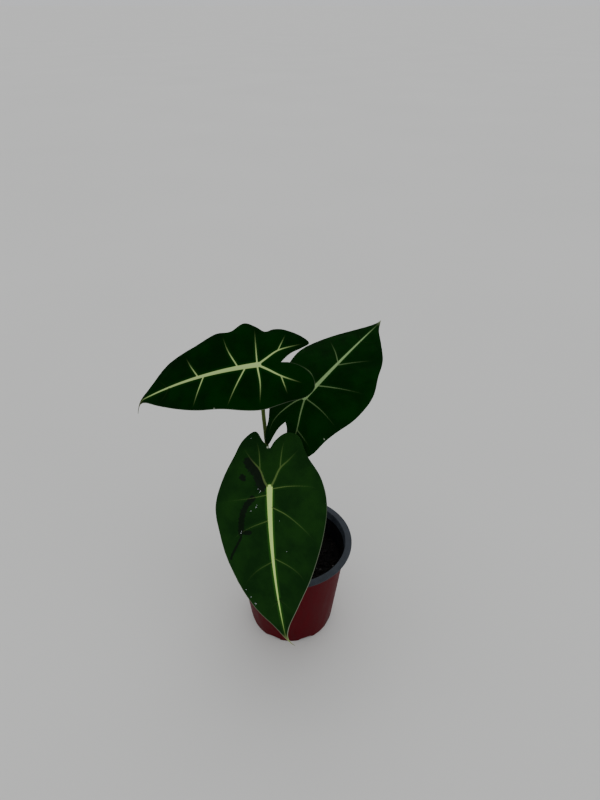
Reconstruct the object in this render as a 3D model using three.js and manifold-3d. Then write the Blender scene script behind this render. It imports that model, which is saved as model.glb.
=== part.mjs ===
// A potted frydek alocasia: three arrow-shaped leaves on slim petioles, in soil, in a two-colour
// nursery pot. Millimetres, +Z up. The origin is the centre of the pot's base, on the surface
// that it stands on, and the viewer stands on the -Y side.
import * as THREE from 'three';
import Module from 'manifold-3d';

const wasm = await Module();
wasm.setup();

// Driving dimensions of the pot
const POT_HEIGHT = 104;
const RIM_RADIUS = 60;
const LIP_INNER_RADIUS = 53.6;
const LIP_THICKNESS = 2.3;
const LIP_EDGE_BEVEL = 0.6;
const WALL = 1.3;
const FOOT_RADIUS = 42.7;
const FOOT_BEVEL = 1.2;
const FLOOR_THICKNESS = 1.8;
const POT_SIDES = 64;
const NOTCH_COUNT = 8;
const NOTCH_WIDTH = 15;
const NOTCH_HEIGHT = 3.6;
const NOTCH_DEPTH = 6;
const NOTCH_ARCH_STEPS = 5;
const FIRST_NOTCH_ANGLE = -70;
const CUT_PAST_BASE = 1;
const CUT_PAST_WALL = 4;

// Driving dimensions of the soil
const SOIL_TOP = 77;
const SOIL_ROUGHNESS = 1.6;
const SOIL_SHOULDER = 3;
const MOUND_LENGTH = 28;
const CLOD_LENGTH = 9.5;
const MOUND_SHARE = 0.6;
const SOIL_RINGS = 9;
const SOIL_SIDES = 40;
const SOIL_GAP = 0.3;
const STEM_HOLE_GAP = 0.5;
const STEM_HOLE_DEPTH = 26;

// Driving dimensions of the leaves
const BLADE_THICKNESS = 0.8;
const VEIN_HALF_WIDTH = 1.6;
const VEIN_TOP_RISE = 0.35;
const VEIN_BACK_RISE = 0.7;
const MIDRIB_TOP_RISE = 0.6;
const MIDRIB_BACK_RISE = 1.5;
const MIDRIB_THINNING = 0.8;
const CREASE_SOFTNESS = 5;
const PUFF = 0.9;
const WAVE_EDGE = 0.3;
const DRIP_SHARPNESS = 3;

// How the petioles run: straight near the soil's top and into the back of the blade
const SHEATH_RADIUS = 4.2;
const SHEATH_LENGTH = 55;
const STRAIGHT_AT_SOIL = 6;
const STRAIGHT_AT_BLADE = 7;
const PETIOLE_GAP = 0.3;
const PETIOLE_SIDES = 12;
const PETIOLE_RINGS = 26;

// The facets of a half blade: its rows as shares of the way from one vein to the next, its
// columns from the midrib to the edge, and limits as shares of a row's or a gap's length
const NOTCH_ROWS = [0, 0.3, 0.6];
const MIDDLE_ROWS = [0.38, 0.62];
const TIP_ROWS = [0.38, 0.62, 0.78, 0.88, 0.95];
const COLUMNS = 8;
const ROW_BOW = 0.05;
const OUTLINE_TO_MIDRIB = 1.6;
const VEIN_FOOT_LIMIT = 0.24;
const RIB_TOP = { halfWidths: 0.7, limit: 0.24 };
const RIB_FOOT = { halfWidths: 1.2, limit: 0.36 };
const VEIN_FADE = 1.6;
const PUFF_REACH = 1.1;
const NORMAL_STEP = 0.5;

// Each leaf's blade is a flat outline, in millimetres from the node where the petiole meets it:
// the first number runs towards the tip and the second away from the midrib. A side starts at
// the notch between the basal lobes, goes round its lobe and ends at the tip. The blade is then
// bent: it droops towards the tip and towards the lobes, folds along the midrib, cups, sways to
// a side and twists, and its slim drip tip curls under and hooks to a side. A vein starts on the
// midrib, at a distance from the node, and ends at a place along the outline, counted in its
// points. A wave lifts or lowers the edge round a place along the midrib.
const LEAVES = {
  left: {
    node: [-25, -5.5, 305],
    tipward: [-0.991, -0.037, -0.129],
    facing: [-0.083, -0.585, 0.807],
    bend: { tip: 0.77, lobes: 0.05, fold: 0.02, cup: 0.4, sway: 0.026, twist: -0.216 },
    drip: { length: 14, curl: 9, hook: 5.5 },
    midribWidth: 4.6,
    sides: [
      {
        outline: [[-19, 0], [-28, 2], [-37, 8], [-43, 17], [-43, 26], [-36, 32], [-22, 34],
          [-4, 36.5], [12, 35.5], [31, 31], [51, 27], [70, 20.5], [90, 11], [102, 4], [109, 1.2],
          [115, 0]],
        veins: [[0, 3.6], [0, 5.9], [0, 7.4], [10, 9], [45, 10.5], [76, 11.9]],
        waves: [[40, 14, 1.7], [2, 11, -1.7]],
      },
      {
        outline: [[-19, 0], [-27, 6.5], [-37, 10.5], [-43, 14], [-38, 21], [-24, 30], [-15, 32],
          [-8, 31], [-1, 35.5], [8, 38.5], [20, 34], [31, 34.5], [48, 28.5], [62, 25], [77, 20],
          [94, 8.6], [103, 3.2], [109, 1], [115, 0]],
        veins: [[0, 3], [0, 4.7], [0, 8.2], [16, 10.8], [50, 13.1], [78, 14.9]],
        waves: [[8, 9, 2.8], [-10, 7, -2.2], [44, 14, 1.7]],
      },
    ],
    petiole: { foot: [-8, 3, 0], lean: [-17, 12, 150], bow: [-22.5, 16, 228], radius: 1.8 },
  },
  right: {
    node: [13.6, 14.5, 261],
    tipward: [0.666, 0.577, 0.474],
    facing: [-0.19, -0.484, 0.855],
    bend: { tip: 0.46, lobes: 0.81, fold: 0.21, cup: 0.41, sway: 0.153, twist: 0.143 },
    drip: { length: 11, curl: 0, hook: 1.5 },
    midribWidth: 4.4,
    sides: [
      {
        outline: [[-27, 0], [-36, 2], [-51, 2], [-50, 6], [-44, 11], [-34, 16], [-24, 24], [-8, 35],
          [13, 39], [38, 40], [62, 29], [86, 12], [100, 4], [107, 1.5], [112, 0]],
        veins: [[0, 3.3], [0, 6], [3, 7.3], [15, 8.3], [46, 10.2], [78, 11.4]],
        waves: [[30, 14, 1.6], [72, 12, -1.6]],
      },
      {
        outline: [[-27, 0], [-31, 5], [-40, 11], [-46, 21], [-42, 30], [-33, 35], [-18, 37],
          [0, 40], [22, 43], [42, 41], [60, 33], [76, 26], [90, 14], [101, 3.6], [107, 1.4], [112, 0]],
        veins: [[0, 2.9], [0, 4.7], [0, 6.8], [15, 8.9], [43, 11.3], [74, 12.5]],
        waves: [[55, 12, 1.6], [8, 12, -1.6]],
      },
    ],
    petiole: { foot: [8, 5, 0], lean: [5, 12, 140], bow: [8, 16, 210], radius: 1.8 },
  },
  front: {
    node: [-16.3, -40.7, 205.7],
    tipward: [0.005, -0.685, -0.728],
    facing: [-0.226, -0.708, 0.667],
    bend: { tip: 0.74, lobes: 0.18, fold: -0.06, cup: 0.3, sway: 0.041, twist: -0.114 },
    drip: { length: 14, curl: 0, hook: 6.5 },
    midribWidth: 6,
    sides: [
      {
        outline: [[-34, 0], [-41, 5], [-47, 15], [-44, 25], [-28, 32], [-8, 44], [15, 48], [43, 43],
          [71, 32], [99, 16], [119, 4], [128, 1.2], [135, 0]],
        veins: [[0, 1.9], [0, 3], [0, 5.5], [16, 7.1], [58, 8.3], [92, 9.3]],
        waves: [[58, 16, 2.1], [8, 14, -1.6]],
      },
      {
        outline: [[-34, 0], [-40, 6], [-49, 13], [-42, 24], [-28, 32], [-8, 42], [15, 48], [43, 44],
          [73, 34], [101, 20.5], [118, 7], [128, 1.4], [135, 0]],
        veins: [[0, 1.7], [0, 2.9], [5, 5.8], [26, 7.1], [60, 8.4], [94, 9.3]],
        waves: [[36, 14, -1.6], [84, 14, 1.6]],
      },
    ],
    petiole: { foot: [0, -9, 0], lean: [-4, -14, 125], bow: [-14, -22, 175], radius: 2.1 },
  },
};

const FINISHES = {
  pot: { color: 0x4a1820, roughness: 0.45 },
  soil: { color: 0x1c1512, roughness: 0.95 },
  blade: { color: 0x143516, roughness: 0.6 },
  petiole: { color: 0x4f6328, roughness: 0.5 },
};

// A named mesh with a finish of its own
function piece(name, geometry, finish) {
  const mesh = new THREE.Mesh(geometry, new THREE.MeshStandardMaterial({ ...finish, metalness: 0 }));
  mesh.name = name;
  return mesh;
}

// A closed mesh with its shared corners merged, as a solid
function solidOf(geometry) {
  const position = geometry.getAttribute('position');
  const index = geometry.getIndex();
  const count = index ? index.count : position.count;
  const known = new Map();
  const vertices = [];
  const corners = [];
  for (let i = 0; i < count; i += 1) {
    const at = index ? index.getX(i) : i;
    const point = [position.getX(at), position.getY(at), position.getZ(at)];
    const key = point.map((value) => Math.round(value * 1e4)).join(',');
    if (!known.has(key)) {
      known.set(key, vertices.length / 3);
      vertices.push(...point);
    }
    corners.push(known.get(key));
  }
  const triangles = [];
  for (let i = 0; i < corners.length; i += 3) {
    const [a, b, c] = corners.slice(i, i + 3);
    if (a !== b && b !== c && a !== c) triangles.push(a, b, c);
  }
  return new wasm.Manifold(new wasm.Mesh({
    numProp: 3,
    vertProperties: new Float32Array(vertices),
    triVerts: new Uint32Array(triangles),
  }));
}

function geometryOf(solid) {
  const mesh = solid.getMesh();
  const geometry = new THREE.BufferGeometry();
  geometry.setAttribute('position', new THREE.BufferAttribute(mesh.vertProperties, 3));
  geometry.setIndex(new THREE.BufferAttribute(mesh.triVerts, 1));
  geometry.computeVertexNormals();
  return geometry;
}

// A turned solid about the Z axis, from a profile of [radius, height] pairs
function turned(profile, sides) {
  const points = profile.map(([radius, height]) => new THREE.Vector2(radius, height));
  return new THREE.LatheGeometry(points, sides).rotateX(Math.PI / 2);
}

const innerRadiusAt = (height) => {
  const share = (height - FLOOR_THICKNESS) / (POT_HEIGHT - FLOOR_THICKNESS);
  return THREE.MathUtils.lerp(FOOT_RADIUS - WALL, LIP_INNER_RADIUS, share);
};

// The pot: a tapered cup with a turned-out flat lip, and arched drain notches round its foot
function potGeometry() {
  const lipBottom = POT_HEIGHT - LIP_THICKNESS;
  const shell = solidOf(turned([
    [0, 0],
    [FOOT_RADIUS - FOOT_BEVEL, 0],
    [FOOT_RADIUS, FOOT_BEVEL],
    [innerRadiusAt(lipBottom) + WALL, lipBottom],
    [RIM_RADIUS - LIP_EDGE_BEVEL, lipBottom],
    [RIM_RADIUS, lipBottom + LIP_EDGE_BEVEL],
    [RIM_RADIUS, POT_HEIGHT - LIP_EDGE_BEVEL],
    [RIM_RADIUS - LIP_EDGE_BEVEL, POT_HEIGHT],
    [LIP_INNER_RADIUS + LIP_EDGE_BEVEL, POT_HEIGHT],
    [LIP_INNER_RADIUS, POT_HEIGHT - LIP_EDGE_BEVEL],
    [FOOT_RADIUS - WALL, FLOOR_THICKNESS],
    [0, FLOOR_THICKNESS],
  ], POT_SIDES));
  const half = NOTCH_WIDTH / 2;
  const low = (NOTCH_WIDTH * 2) / 3;
  const arch = new THREE.Shape();
  arch.moveTo(-half, -CUT_PAST_BASE);
  arch.lineTo(half, -CUT_PAST_BASE);
  arch.bezierCurveTo(low / 2, NOTCH_HEIGHT, half / 2, NOTCH_HEIGHT, 0, NOTCH_HEIGHT);
  arch.bezierCurveTo(-half / 2, NOTCH_HEIGHT, -low / 2, NOTCH_HEIGHT, -half, -CUT_PAST_BASE);
  let solid = shell;
  for (let i = 0; i < NOTCH_COUNT; i += 1) {
    const turn = THREE.MathUtils.degToRad(FIRST_NOTCH_ANGLE + (i * 360) / NOTCH_COUNT);
    const cutter = new THREE.ExtrudeGeometry(arch, {
      depth: NOTCH_DEPTH + CUT_PAST_WALL,
      bevelEnabled: false,
      curveSegments: NOTCH_ARCH_STEPS,
    });
    cutter.rotateX(Math.PI / 2).rotateZ(Math.PI / 2);
    cutter.translate(FOOT_RADIUS - NOTCH_DEPTH, 0, 0).rotateZ(turn);
    solid = solid.subtract(solidOf(cutter));
  }
  return geometryOf(solid);
}

// Low mounds and hollows of the potting mix, and smaller clods that run aslant across them
function soilHeight(x, y) {
  const turn = 2 * Math.PI;
  const mounds = Math.sin((turn * x) / MOUND_LENGTH + 1) * Math.cos((turn * y) / MOUND_LENGTH);
  const clods = Math.sin((turn * (x + y / 2)) / CLOD_LENGTH) * Math.cos((turn * (y - x / 2)) / CLOD_LENGTH);
  return SOIL_TOP + SOIL_ROUGHNESS * (MOUND_SHARE * mounds + (1 - MOUND_SHARE) * clods);
}

// The soil: it fills the pot up to its rough top, with a plain hole for each petiole's base
function soilGeometry() {
  const bottom = FLOOR_THICKNESS + SOIL_GAP;
  const shoulder = SOIL_TOP - SOIL_SHOULDER;
  const outer = (height) => innerRadiusAt(height) - SOIL_GAP * 1.5;
  const profile = [[0, bottom], [outer(bottom), bottom], [outer(shoulder), shoulder]];
  for (let ring = SOIL_RINGS; ring >= 0; ring -= 1) {
    profile.push([((outer(shoulder) - SOIL_GAP) * ring) / SOIL_RINGS, SOIL_TOP]);
  }
  const geometry = turned(profile, SOIL_SIDES);
  const position = geometry.getAttribute('position');
  for (let i = 0; i < position.count; i += 1) {
    if (position.getZ(i) > shoulder) {
      position.setZ(i, soilHeight(position.getX(i), position.getY(i)));
    }
  }
  let solid = solidOf(geometry);
  for (const leaf of Object.values(LEAVES)) {
    const [x, y] = leaf.petiole.foot;
    const hole = new THREE.CylinderGeometry(
      SHEATH_RADIUS + STEM_HOLE_GAP,
      SHEATH_RADIUS + STEM_HOLE_GAP,
      STEM_HOLE_DEPTH * 2,
      PETIOLE_SIDES * 2,
    );
    hole.rotateX(Math.PI / 2).translate(x, y, SOIL_TOP);
    solid = solid.subtract(solidOf(hole));
  }
  return geometryOf(solid);
}

// A leaf's own directions: towards its tip, across to its first side, and out of its upper face
function axesOf(leaf) {
  const along = new THREE.Vector3(...leaf.tipward).normalize();
  const out = new THREE.Vector3(...leaf.facing);
  out.addScaledVector(along, -out.dot(along)).normalize();
  const across = new THREE.Vector3().crossVectors(out, along);
  return { along, across, out };
}

const lengthOf = (leaf) => leaf.sides[0].outline.at(-1)[0];

// The bent blade's middle surface, at a point of the flat outline
function bent(leaf, u, v) {
  const { along, across, out } = axesOf(leaf);
  const { tip, lobes, fold, cup, sway, twist } = leaf.bend;
  const { length: dripLength, curl, hook } = leaf.drip;
  const reach = lengthOf(leaf);
  const drip = (Math.max(0, u - reach + dripLength) / dripLength) ** DRIP_SHARPNESS;
  const bow = (u > 0 ? tip : lobes) * u * u;
  const crease = Math.hypot(v, CREASE_SOFTNESS) - CREASE_SOFTNESS;
  let lift = (-bow - cup * v * v) / (2 * reach) - fold * crease + (twist * u * v) / reach;
  lift -= curl * drip;
  for (const [place, length, height] of leaf.sides[v > 0 ? 0 : 1].waves) {
    const edge = v / (reach * WAVE_EDGE);
    lift += height * edge * edge * Math.exp(-(((u - place) / length) ** 2));
  }
  return new THREE.Vector3(...leaf.node)
    .addScaledVector(along, u)
    .addScaledVector(across, v + (sway * u * Math.abs(u)) / (2 * reach) + hook * drip)
    .addScaledVector(out, lift);
}

// The direction straight out of the bent blade's upper face
function normalAt(leaf, u, v) {
  const forward = bent(leaf, u + NORMAL_STEP, v).sub(bent(leaf, u - NORMAL_STEP, v));
  const sideways = bent(leaf, u, v + NORMAL_STEP).sub(bent(leaf, u, v - NORMAL_STEP));
  return forward.cross(sideways).normalize();
}

// Rows of a half blade, each from the midrib to the edge. A row on a vein is a crest, its two
// neighbours lie at the vein's foot, and the rows between them carry the puffed-up blade.
function rowsOf(leaf, side) {
  const reach = lengthOf(leaf);
  const last = side.outline.length - 1;
  const stops = [[0, 0], ...side.veins, [reach, last]].map(([from, to]) => [from, to / last]);
  const rows = [];
  for (let i = 0; i + 1 < stops.length; i += 1) {
    const [fromA, toA] = stops[i];
    const [fromB, toB] = stops[i + 1];
    const gap = Math.max(fromB - fromA, (toB - toA) * reach * OUTLINE_TO_MIDRIB);
    const foot = Math.min(VEIN_FOOT_LIMIT, VEIN_HALF_WIDTH / gap);
    let shares = [0, foot, ...MIDDLE_ROWS, 1 - foot];
    if (i === 0) shares = [...NOTCH_ROWS, 1 - foot];
    if (i + 2 === stops.length) shares = [0, foot, ...TIP_ROWS];
    for (const share of shares) {
      rows.push({
        from: THREE.MathUtils.lerp(fromA, fromB, share),
        to: THREE.MathUtils.lerp(toA, toB, share),
        crest: share === 0 && i > 0 ? 1 : 0,
        puff: Math.sin(Math.PI * share),
      });
    }
  }
  rows.push({ from: reach, to: 1, crest: 0, puff: 0 });
  return rows;
}

// Where a row's points lie on the flat blade, and how far each rises on the upper and the lower face
function rowPoints(leaf, row, outline) {
  const start = new THREE.Vector3(row.from, 0, 0);
  const end = outline.getPoint(row.to);
  const length = Math.max(start.distanceTo(end), 1e-6);
  const thinning = 1 - MIDRIB_THINNING * (row.from / lengthOf(leaf));
  const ribHalf = (leaf.midribWidth / 2) * thinning;
  const top = Math.min(RIB_TOP.limit, (RIB_TOP.halfWidths * ribHalf) / length);
  const foot = Math.min(RIB_FOOT.limit, (RIB_FOOT.halfWidths * ribHalf) / length);
  const bows = row.to > 0 && row.from > 0;
  const points = [];
  for (let column = 0; column <= COLUMNS; column += 1) {
    const beyond = (column - 1) / (COLUMNS - 1);
    const share = column === 0 ? top : foot + (1 - foot) * beyond;
    const point = start.clone().lerp(end, share);
    if (bows) point.x -= Math.sin(Math.PI * share) * length * ROW_BOW;
    const midrib = column === 0 ? thinning : 0;
    const vein = row.crest * Math.min(1, VEIN_FADE * (1 - share));
    const puff = PUFF * row.puff * Math.sin(Math.PI * Math.min(1, share * PUFF_REACH));
    points.push({
      u: point.x,
      v: point.y,
      topRise: Math.max(MIDRIB_TOP_RISE * midrib, VEIN_TOP_RISE * vein) + puff,
      backRise: Math.max(MIDRIB_BACK_RISE * midrib, VEIN_BACK_RISE * vein) - puff,
    });
  }
  return points;
}

// A blade: two halves, each a grid of rows on both faces, a flat-topped midrib between them and
// the thin edge all round
function bladeGeometry(leaf) {
  const vertices = [];
  const triangles = [];
  const known = new Map();
  // A pair of points, on the upper and the lower face, for one place of the flat blade
  const pair = (u, v, topRise, backRise) => {
    const key = `${u.toFixed(3)},${v.toFixed(3)}`;
    if (!known.has(key)) {
      const middle = bent(leaf, u, v);
      const normal = normalAt(leaf, u, v);
      known.set(key, vertices.length / 3);
      const top = middle.clone().addScaledVector(normal, BLADE_THICKNESS / 2 + topRise);
      const back = middle.clone().addScaledVector(normal, -BLADE_THICKNESS / 2 - backRise);
      vertices.push(...top.toArray(), ...back.toArray());
    }
    return known.get(key);
  };
  // A triangle of the upper face, and its match on the lower face
  const face = (a, b, c) => {
    if (a === b || b === c || a === c) return;
    triangles.push(a, b, c, a + 1, c + 1, b + 1);
  };
  const ribEdges = leaf.sides.map((side, sideIndex) => {
    const first = sideIndex === 0;
    const outline = new THREE.CatmullRomCurve3(
      side.outline.map(([u, v]) => new THREE.Vector3(u, v, 0)),
      false,
      'centripetal',
    );
    const ribEdge = [];
    const grid = rowsOf(leaf, side).map((row) => {
      const points = rowPoints(leaf, row, outline);
      const line = points.map(({ u, v, topRise, backRise }) => (
        pair(u, first ? v : -v, topRise, backRise)
      ));
      ribEdge.push({ corner: line[0], along: points[0].u });
      return line;
    });
    for (let row = 0; row + 1 < grid.length; row += 1) {
      for (let column = 0; column < COLUMNS; column += 1) {
        const a = grid[row][column];
        const b = grid[row][column + 1];
        const c = grid[row + 1][column + 1];
        const d = grid[row + 1][column];
        if (first) {
          face(a, c, b);
          face(a, d, c);
        } else {
          face(a, b, c);
          face(a, c, d);
        }
      }
      const edge = grid[row][COLUMNS];
      const next = grid[row + 1][COLUMNS];
      if (first) triangles.push(edge, next, next + 1, edge, next + 1, edge + 1);
      else triangles.push(edge, next + 1, next, edge, edge + 1, next + 1);
    }
    return ribEdge;
  });
  // The flat top of the midrib joins the two halves, from the notch to the tip
  const [near, far] = ribEdges;
  let i = 0;
  let j = 0;
  while (i + 1 < near.length || j + 1 < far.length) {
    const stepNear = j + 1 === far.length || (i + 1 < near.length && near[i + 1].along <= far[j + 1].along);
    if (stepNear) {
      face(near[i].corner, far[j].corner, near[i + 1].corner);
      i += 1;
    } else {
      face(near[i].corner, far[j].corner, far[j + 1].corner);
      j += 1;
    }
  }
  const geometry = new THREE.BufferGeometry();
  geometry.setAttribute('position', new THREE.BufferAttribute(new Float32Array(vertices), 3));
  geometry.setIndex(triangles);
  geometry.computeVertexNormals();
  return geometry;
}

// A petiole: a tapered stalk with a wider sheath at its foot, turned straight and then bent along
// its path from its hole in the soil up to the back of the blade
function petioleGeometry(leaf) {
  const { foot, lean, bow, radius } = leaf.petiole;
  const { out } = axesOf(leaf);
  const seat = BLADE_THICKNESS / 2 + MIDRIB_BACK_RISE + PETIOLE_GAP;
  const end = new THREE.Vector3(...leaf.node).addScaledVector(normalAt(leaf, 0, 0), -seat);
  const bottom = SOIL_TOP - STEM_HOLE_DEPTH + SOIL_GAP;
  const path = new THREE.CatmullRomCurve3([
    new THREE.Vector3(foot[0], foot[1], bottom),
    new THREE.Vector3(foot[0], foot[1], SOIL_TOP - STRAIGHT_AT_SOIL),
    new THREE.Vector3(foot[0], foot[1], SOIL_TOP + STRAIGHT_AT_SOIL),
    new THREE.Vector3(...lean),
    new THREE.Vector3(...bow),
    end.clone().addScaledVector(out, -STRAIGHT_AT_BLADE),
    end,
  ], false, 'centripetal');
  const length = path.getLength();
  const profile = [[0, 0]];
  for (let ring = 0; ring <= PETIOLE_RINGS; ring += 1) {
    const along = (length * ring) / PETIOLE_RINGS;
    const buried = SOIL_TOP - bottom + SHEATH_LENGTH;
    const sheath = THREE.MathUtils.smoothstep(buried - along, 0, SHEATH_LENGTH);
    profile.push([THREE.MathUtils.lerp(radius, SHEATH_RADIUS, sheath), along]);
  }
  profile.push([0, length]);
  const geometry = turned(profile, PETIOLE_SIDES);
  const position = geometry.getAttribute('position');
  const side = new THREE.Vector3();
  for (let i = 0; i < position.count; i += 1) {
    const share = THREE.MathUtils.clamp(position.getZ(i) / length, 0, 1);
    const centre = path.getPointAt(share);
    const tangent = path.getTangentAt(share);
    side.set(0, 1, 0).cross(tangent).normalize();
    const other = tangent.clone().cross(side);
    centre.addScaledVector(side, position.getX(i)).addScaledVector(other, position.getY(i));
    position.setXYZ(i, ...centre.toArray());
  }
  return geometryOf(solidOf(geometry));
}

const plant = new THREE.Group();
plant.add(piece('pot', potGeometry(), FINISHES.pot));
plant.add(piece('soil', soilGeometry(), FINISHES.soil));
for (const [name, leaf] of Object.entries(LEAVES)) {
  plant.add(piece(`${name}_leaf_petiole`, petioleGeometry(leaf), FINISHES.petiole));
  plant.add(piece(`${name}_leaf_blade`, bladeGeometry(leaf), FINISHES.blade));
}

export default plant;
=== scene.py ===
"""A potted frydek alocasia: three velvety arrow-shaped leaves on slim petioles, in a two-colour pot.

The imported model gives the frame. Every piece here stands for one of its solids, in the same place,
and adds the fine form and the finish: ribs and net on the blades, the sheathed feet of the
petioles, the rounded lip of the pot and the crumbs of the soil. Sizes are in millimetres, as in
the part's own source, and a mesh is turned to metres when it is written.
"""
import logging
import math
import random
from collections.abc import Iterable
from dataclasses import dataclass
from enum import Enum

import bmesh
import bpy
import numpy as np
from mathutils import Matrix, Vector


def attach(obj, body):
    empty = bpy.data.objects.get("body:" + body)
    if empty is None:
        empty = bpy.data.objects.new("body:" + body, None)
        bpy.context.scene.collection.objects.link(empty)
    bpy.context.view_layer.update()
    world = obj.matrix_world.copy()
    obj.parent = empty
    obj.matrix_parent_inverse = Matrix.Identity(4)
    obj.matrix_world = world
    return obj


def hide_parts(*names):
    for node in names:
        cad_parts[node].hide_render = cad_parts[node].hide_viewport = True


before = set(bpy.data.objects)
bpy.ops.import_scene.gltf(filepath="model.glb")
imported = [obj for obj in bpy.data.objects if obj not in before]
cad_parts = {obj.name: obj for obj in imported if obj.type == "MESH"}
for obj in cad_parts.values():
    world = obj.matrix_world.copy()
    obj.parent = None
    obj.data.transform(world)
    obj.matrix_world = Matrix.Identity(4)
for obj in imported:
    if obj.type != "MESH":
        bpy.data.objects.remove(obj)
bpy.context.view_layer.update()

log = logging.getLogger("potted_alocasia")

MM = 0.001
BODY = "root"
UV_SPAN = 200.0
FAR = 999.0
NO_RIB = 99.0
BLADE_VALUES = ("rib_gap", "rib_strength", "net_rib", "edge_gap", "upper", "wet", "margin", "drip",
                "fleck_and_glint")
SEED = 5817
DROP_FLATNESS = 0.6

Pair = tuple[float, float]
Triple = tuple[float, float, float]


class Slot(Enum):
    """The record's material slots."""

    POT = "pot_plastic"
    SOIL = "potting_mix"
    PETIOLE = "petiole"
    BLADE = "leaf_blade"


# Shared helpers


def linear(colour: str, alpha: float = 1.0) -> tuple[float, float, float, float]:
    """Turns an sRGB hex colour to linear.

    Args:
        colour: Six hex digits, with or without a leading #.
        alpha: The fourth value of the result.

    Returns:
        Red, green, blue and alpha.
    """
    digits = colour.lstrip("#")
    values = [int(digits[i : i + 2], 16) / 255 for i in (0, 2, 4)]
    red, green, blue = (
        v / 12.92 if v <= 0.04045 else ((v + 0.055) / 1.055) ** 2.4 for v in values
    )
    return red, green, blue, alpha


def add_node(tree: bpy.types.NodeTree, kind: str, inputs: dict | None = None,
             **settings: object) -> bpy.types.Node:
    """Adds a node with its settings and links.

    Args:
        tree: The material's node tree.
        kind: The node's type, such as ShaderNodeMix.
        inputs: For a socket's name or number, its value or the output that feeds it.
        settings: The node's own properties.

    Returns:
        The new node.
    """
    node = tree.nodes.new(kind)
    for name, value in settings.items():
        setattr(node, name, value)
    for key, value in (inputs or {}).items():
        socket = node.inputs[key]
        if isinstance(value, bpy.types.NodeSocket):
            tree.links.new(value, socket)
        else:
            socket.default_value = value
    return node


def blank_material(name: str) -> tuple[bpy.types.Material, bpy.types.NodeTree, bpy.types.Node]:
    """Returns a new material with its node tree and its Principled shader.

    Args:
        name: The material's name.

    Returns:
        The material, its node tree and its shader.
    """
    material = bpy.data.materials.new(name)
    material.use_nodes = True
    return material, material.node_tree, material.node_tree.nodes["Principled BSDF"]


def smooth(low: float, high: float, values: np.ndarray) -> np.ndarray:
    """Returns 0 below low, 1 above high and a smooth step between them."""
    share = np.clip((values - low) / (high - low), 0, 1)
    return share * share * (3 - 2 * share)


def curve_through(points: Iterable[Iterable[float]], steps: int) -> np.ndarray:
    """Runs a centripetal Catmull-Rom curve through points.

    Args:
        points: The points, each of two or three numbers.
        steps: How many steps the curve takes between two points.

    Returns:
        One row per point of the curve, both ends included.
    """
    given = np.array([tuple(p) for p in points], float)
    padded = np.vstack([2 * given[0] - given[1], given, 2 * given[-1] - given[-2]])
    shares = np.linspace(0, 1, steps, endpoint=False)[:, None]
    rows = []
    for p0, p1, p2, p3 in zip(padded, padded[1:], padded[2:], padded[3:]):
        d0, d1, d2 = (math.sqrt(float(np.linalg.norm(b - a))) for a, b in ((p0, p1), (p1, p2), (p2, p3)))
        start = ((p1 - p0) / d0 - (p2 - p0) / (d0 + d1) + (p2 - p1) / d1) * d1
        end = ((p2 - p1) / d1 - (p3 - p1) / (d1 + d2) + (p3 - p2) / d2) * d1
        square = -3 * p1 + 3 * p2 - 2 * start - end
        cube = 2 * p1 - 2 * p2 + start + end
        rows.append(p1 + shares * (start + shares * (square + shares * cube)))
    return np.vstack([*rows, given[-1:]])


def evenly(line: np.ndarray, count: int) -> np.ndarray:
    """Returns count points at even distances along a line of points, both ends included.

    Args:
        line: The line's own points.
        count: How many points to return.

    Returns:
        One row per point.
    """
    steps = np.linalg.norm(np.diff(line, axis=0), axis=1)
    along = np.concatenate([[0], np.cumsum(steps)])
    places = np.linspace(0, along[-1], count)
    return np.stack([np.interp(places, along, column) for column in line.T], axis=1)


def nearest(points: np.ndarray, line: np.ndarray, limit: float = 16.0) -> tuple[np.ndarray, np.ndarray]:
    """Finds how far points lie from a line of points.

    Args:
        points: One row of two numbers per point.
        line: The line's own points, at least two.
        limit: The distance past which a point isn't measured.

    Returns:
        Each point's distance to the line, or a large number past the limit, and the share of the
        line's length at its nearest place.
    """
    steps = np.linalg.norm(np.diff(line, axis=0), axis=1)
    along = np.concatenate([[0], np.cumsum(steps)])
    best = np.full(len(points), FAR)
    place = np.zeros(len(points))
    for start, end, length, before in zip(line, line[1:], steps, along):
        step = end - start
        from_middle = np.abs(points - (start + end) / 2)
        close = np.nonzero((from_middle < np.abs(step) / 2 + limit).all(axis=1))[0]
        offset = points[close] - start
        share = np.clip((offset @ step) / max(length * length, 1e-12), 0, 1)
        distance = np.hypot(*(offset - share[:, None] * step).T)
        closer = distance < best[close]
        best[close[closer]] = distance[closer]
        place[close[closer]] = before + share[closer] * length
    return best, place / along[-1]


def coordinates(mesh: bpy.types.Mesh) -> np.ndarray:
    """Returns a mesh's points, one row each.

    Args:
        mesh: The mesh.

    Returns:
        One row of three numbers per point.
    """
    flat = np.zeros(len(mesh.vertices) * 3, np.float32)
    mesh.vertices.foreach_get("co", flat)
    return flat.reshape(-1, 3).astype(float)


def place_points(mesh: bpy.types.Mesh, points: np.ndarray) -> None:
    """Moves a mesh's points, given in millimetres, to their places in metres."""
    mesh.vertices.foreach_set("co", (points * MM).astype(np.float32).ravel())
    mesh.update()


def keep_values(mesh: bpy.types.Mesh, name: str, values: np.ndarray) -> None:
    """Stores one number per point of a mesh under a name that a material reads."""
    attribute = mesh.attributes.new(name, "FLOAT", "POINT")
    attribute.data.foreach_set("value", values.astype(np.float32))


def keep_uv(mesh: bpy.types.Mesh, places: np.ndarray) -> None:
    """Stores a UV place per point of a mesh, the same in every face that meets there.

    Args:
        mesh: The mesh.
        places: One row of two numbers per point.
    """
    layer = mesh.uv_layers.new(name="UVMap")
    corners = np.zeros(len(mesh.loops), np.int32)
    mesh.loops.foreach_get("vertex_index", corners)
    layer.data.foreach_set("uv", places[corners].astype(np.float32).ravel())


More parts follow.
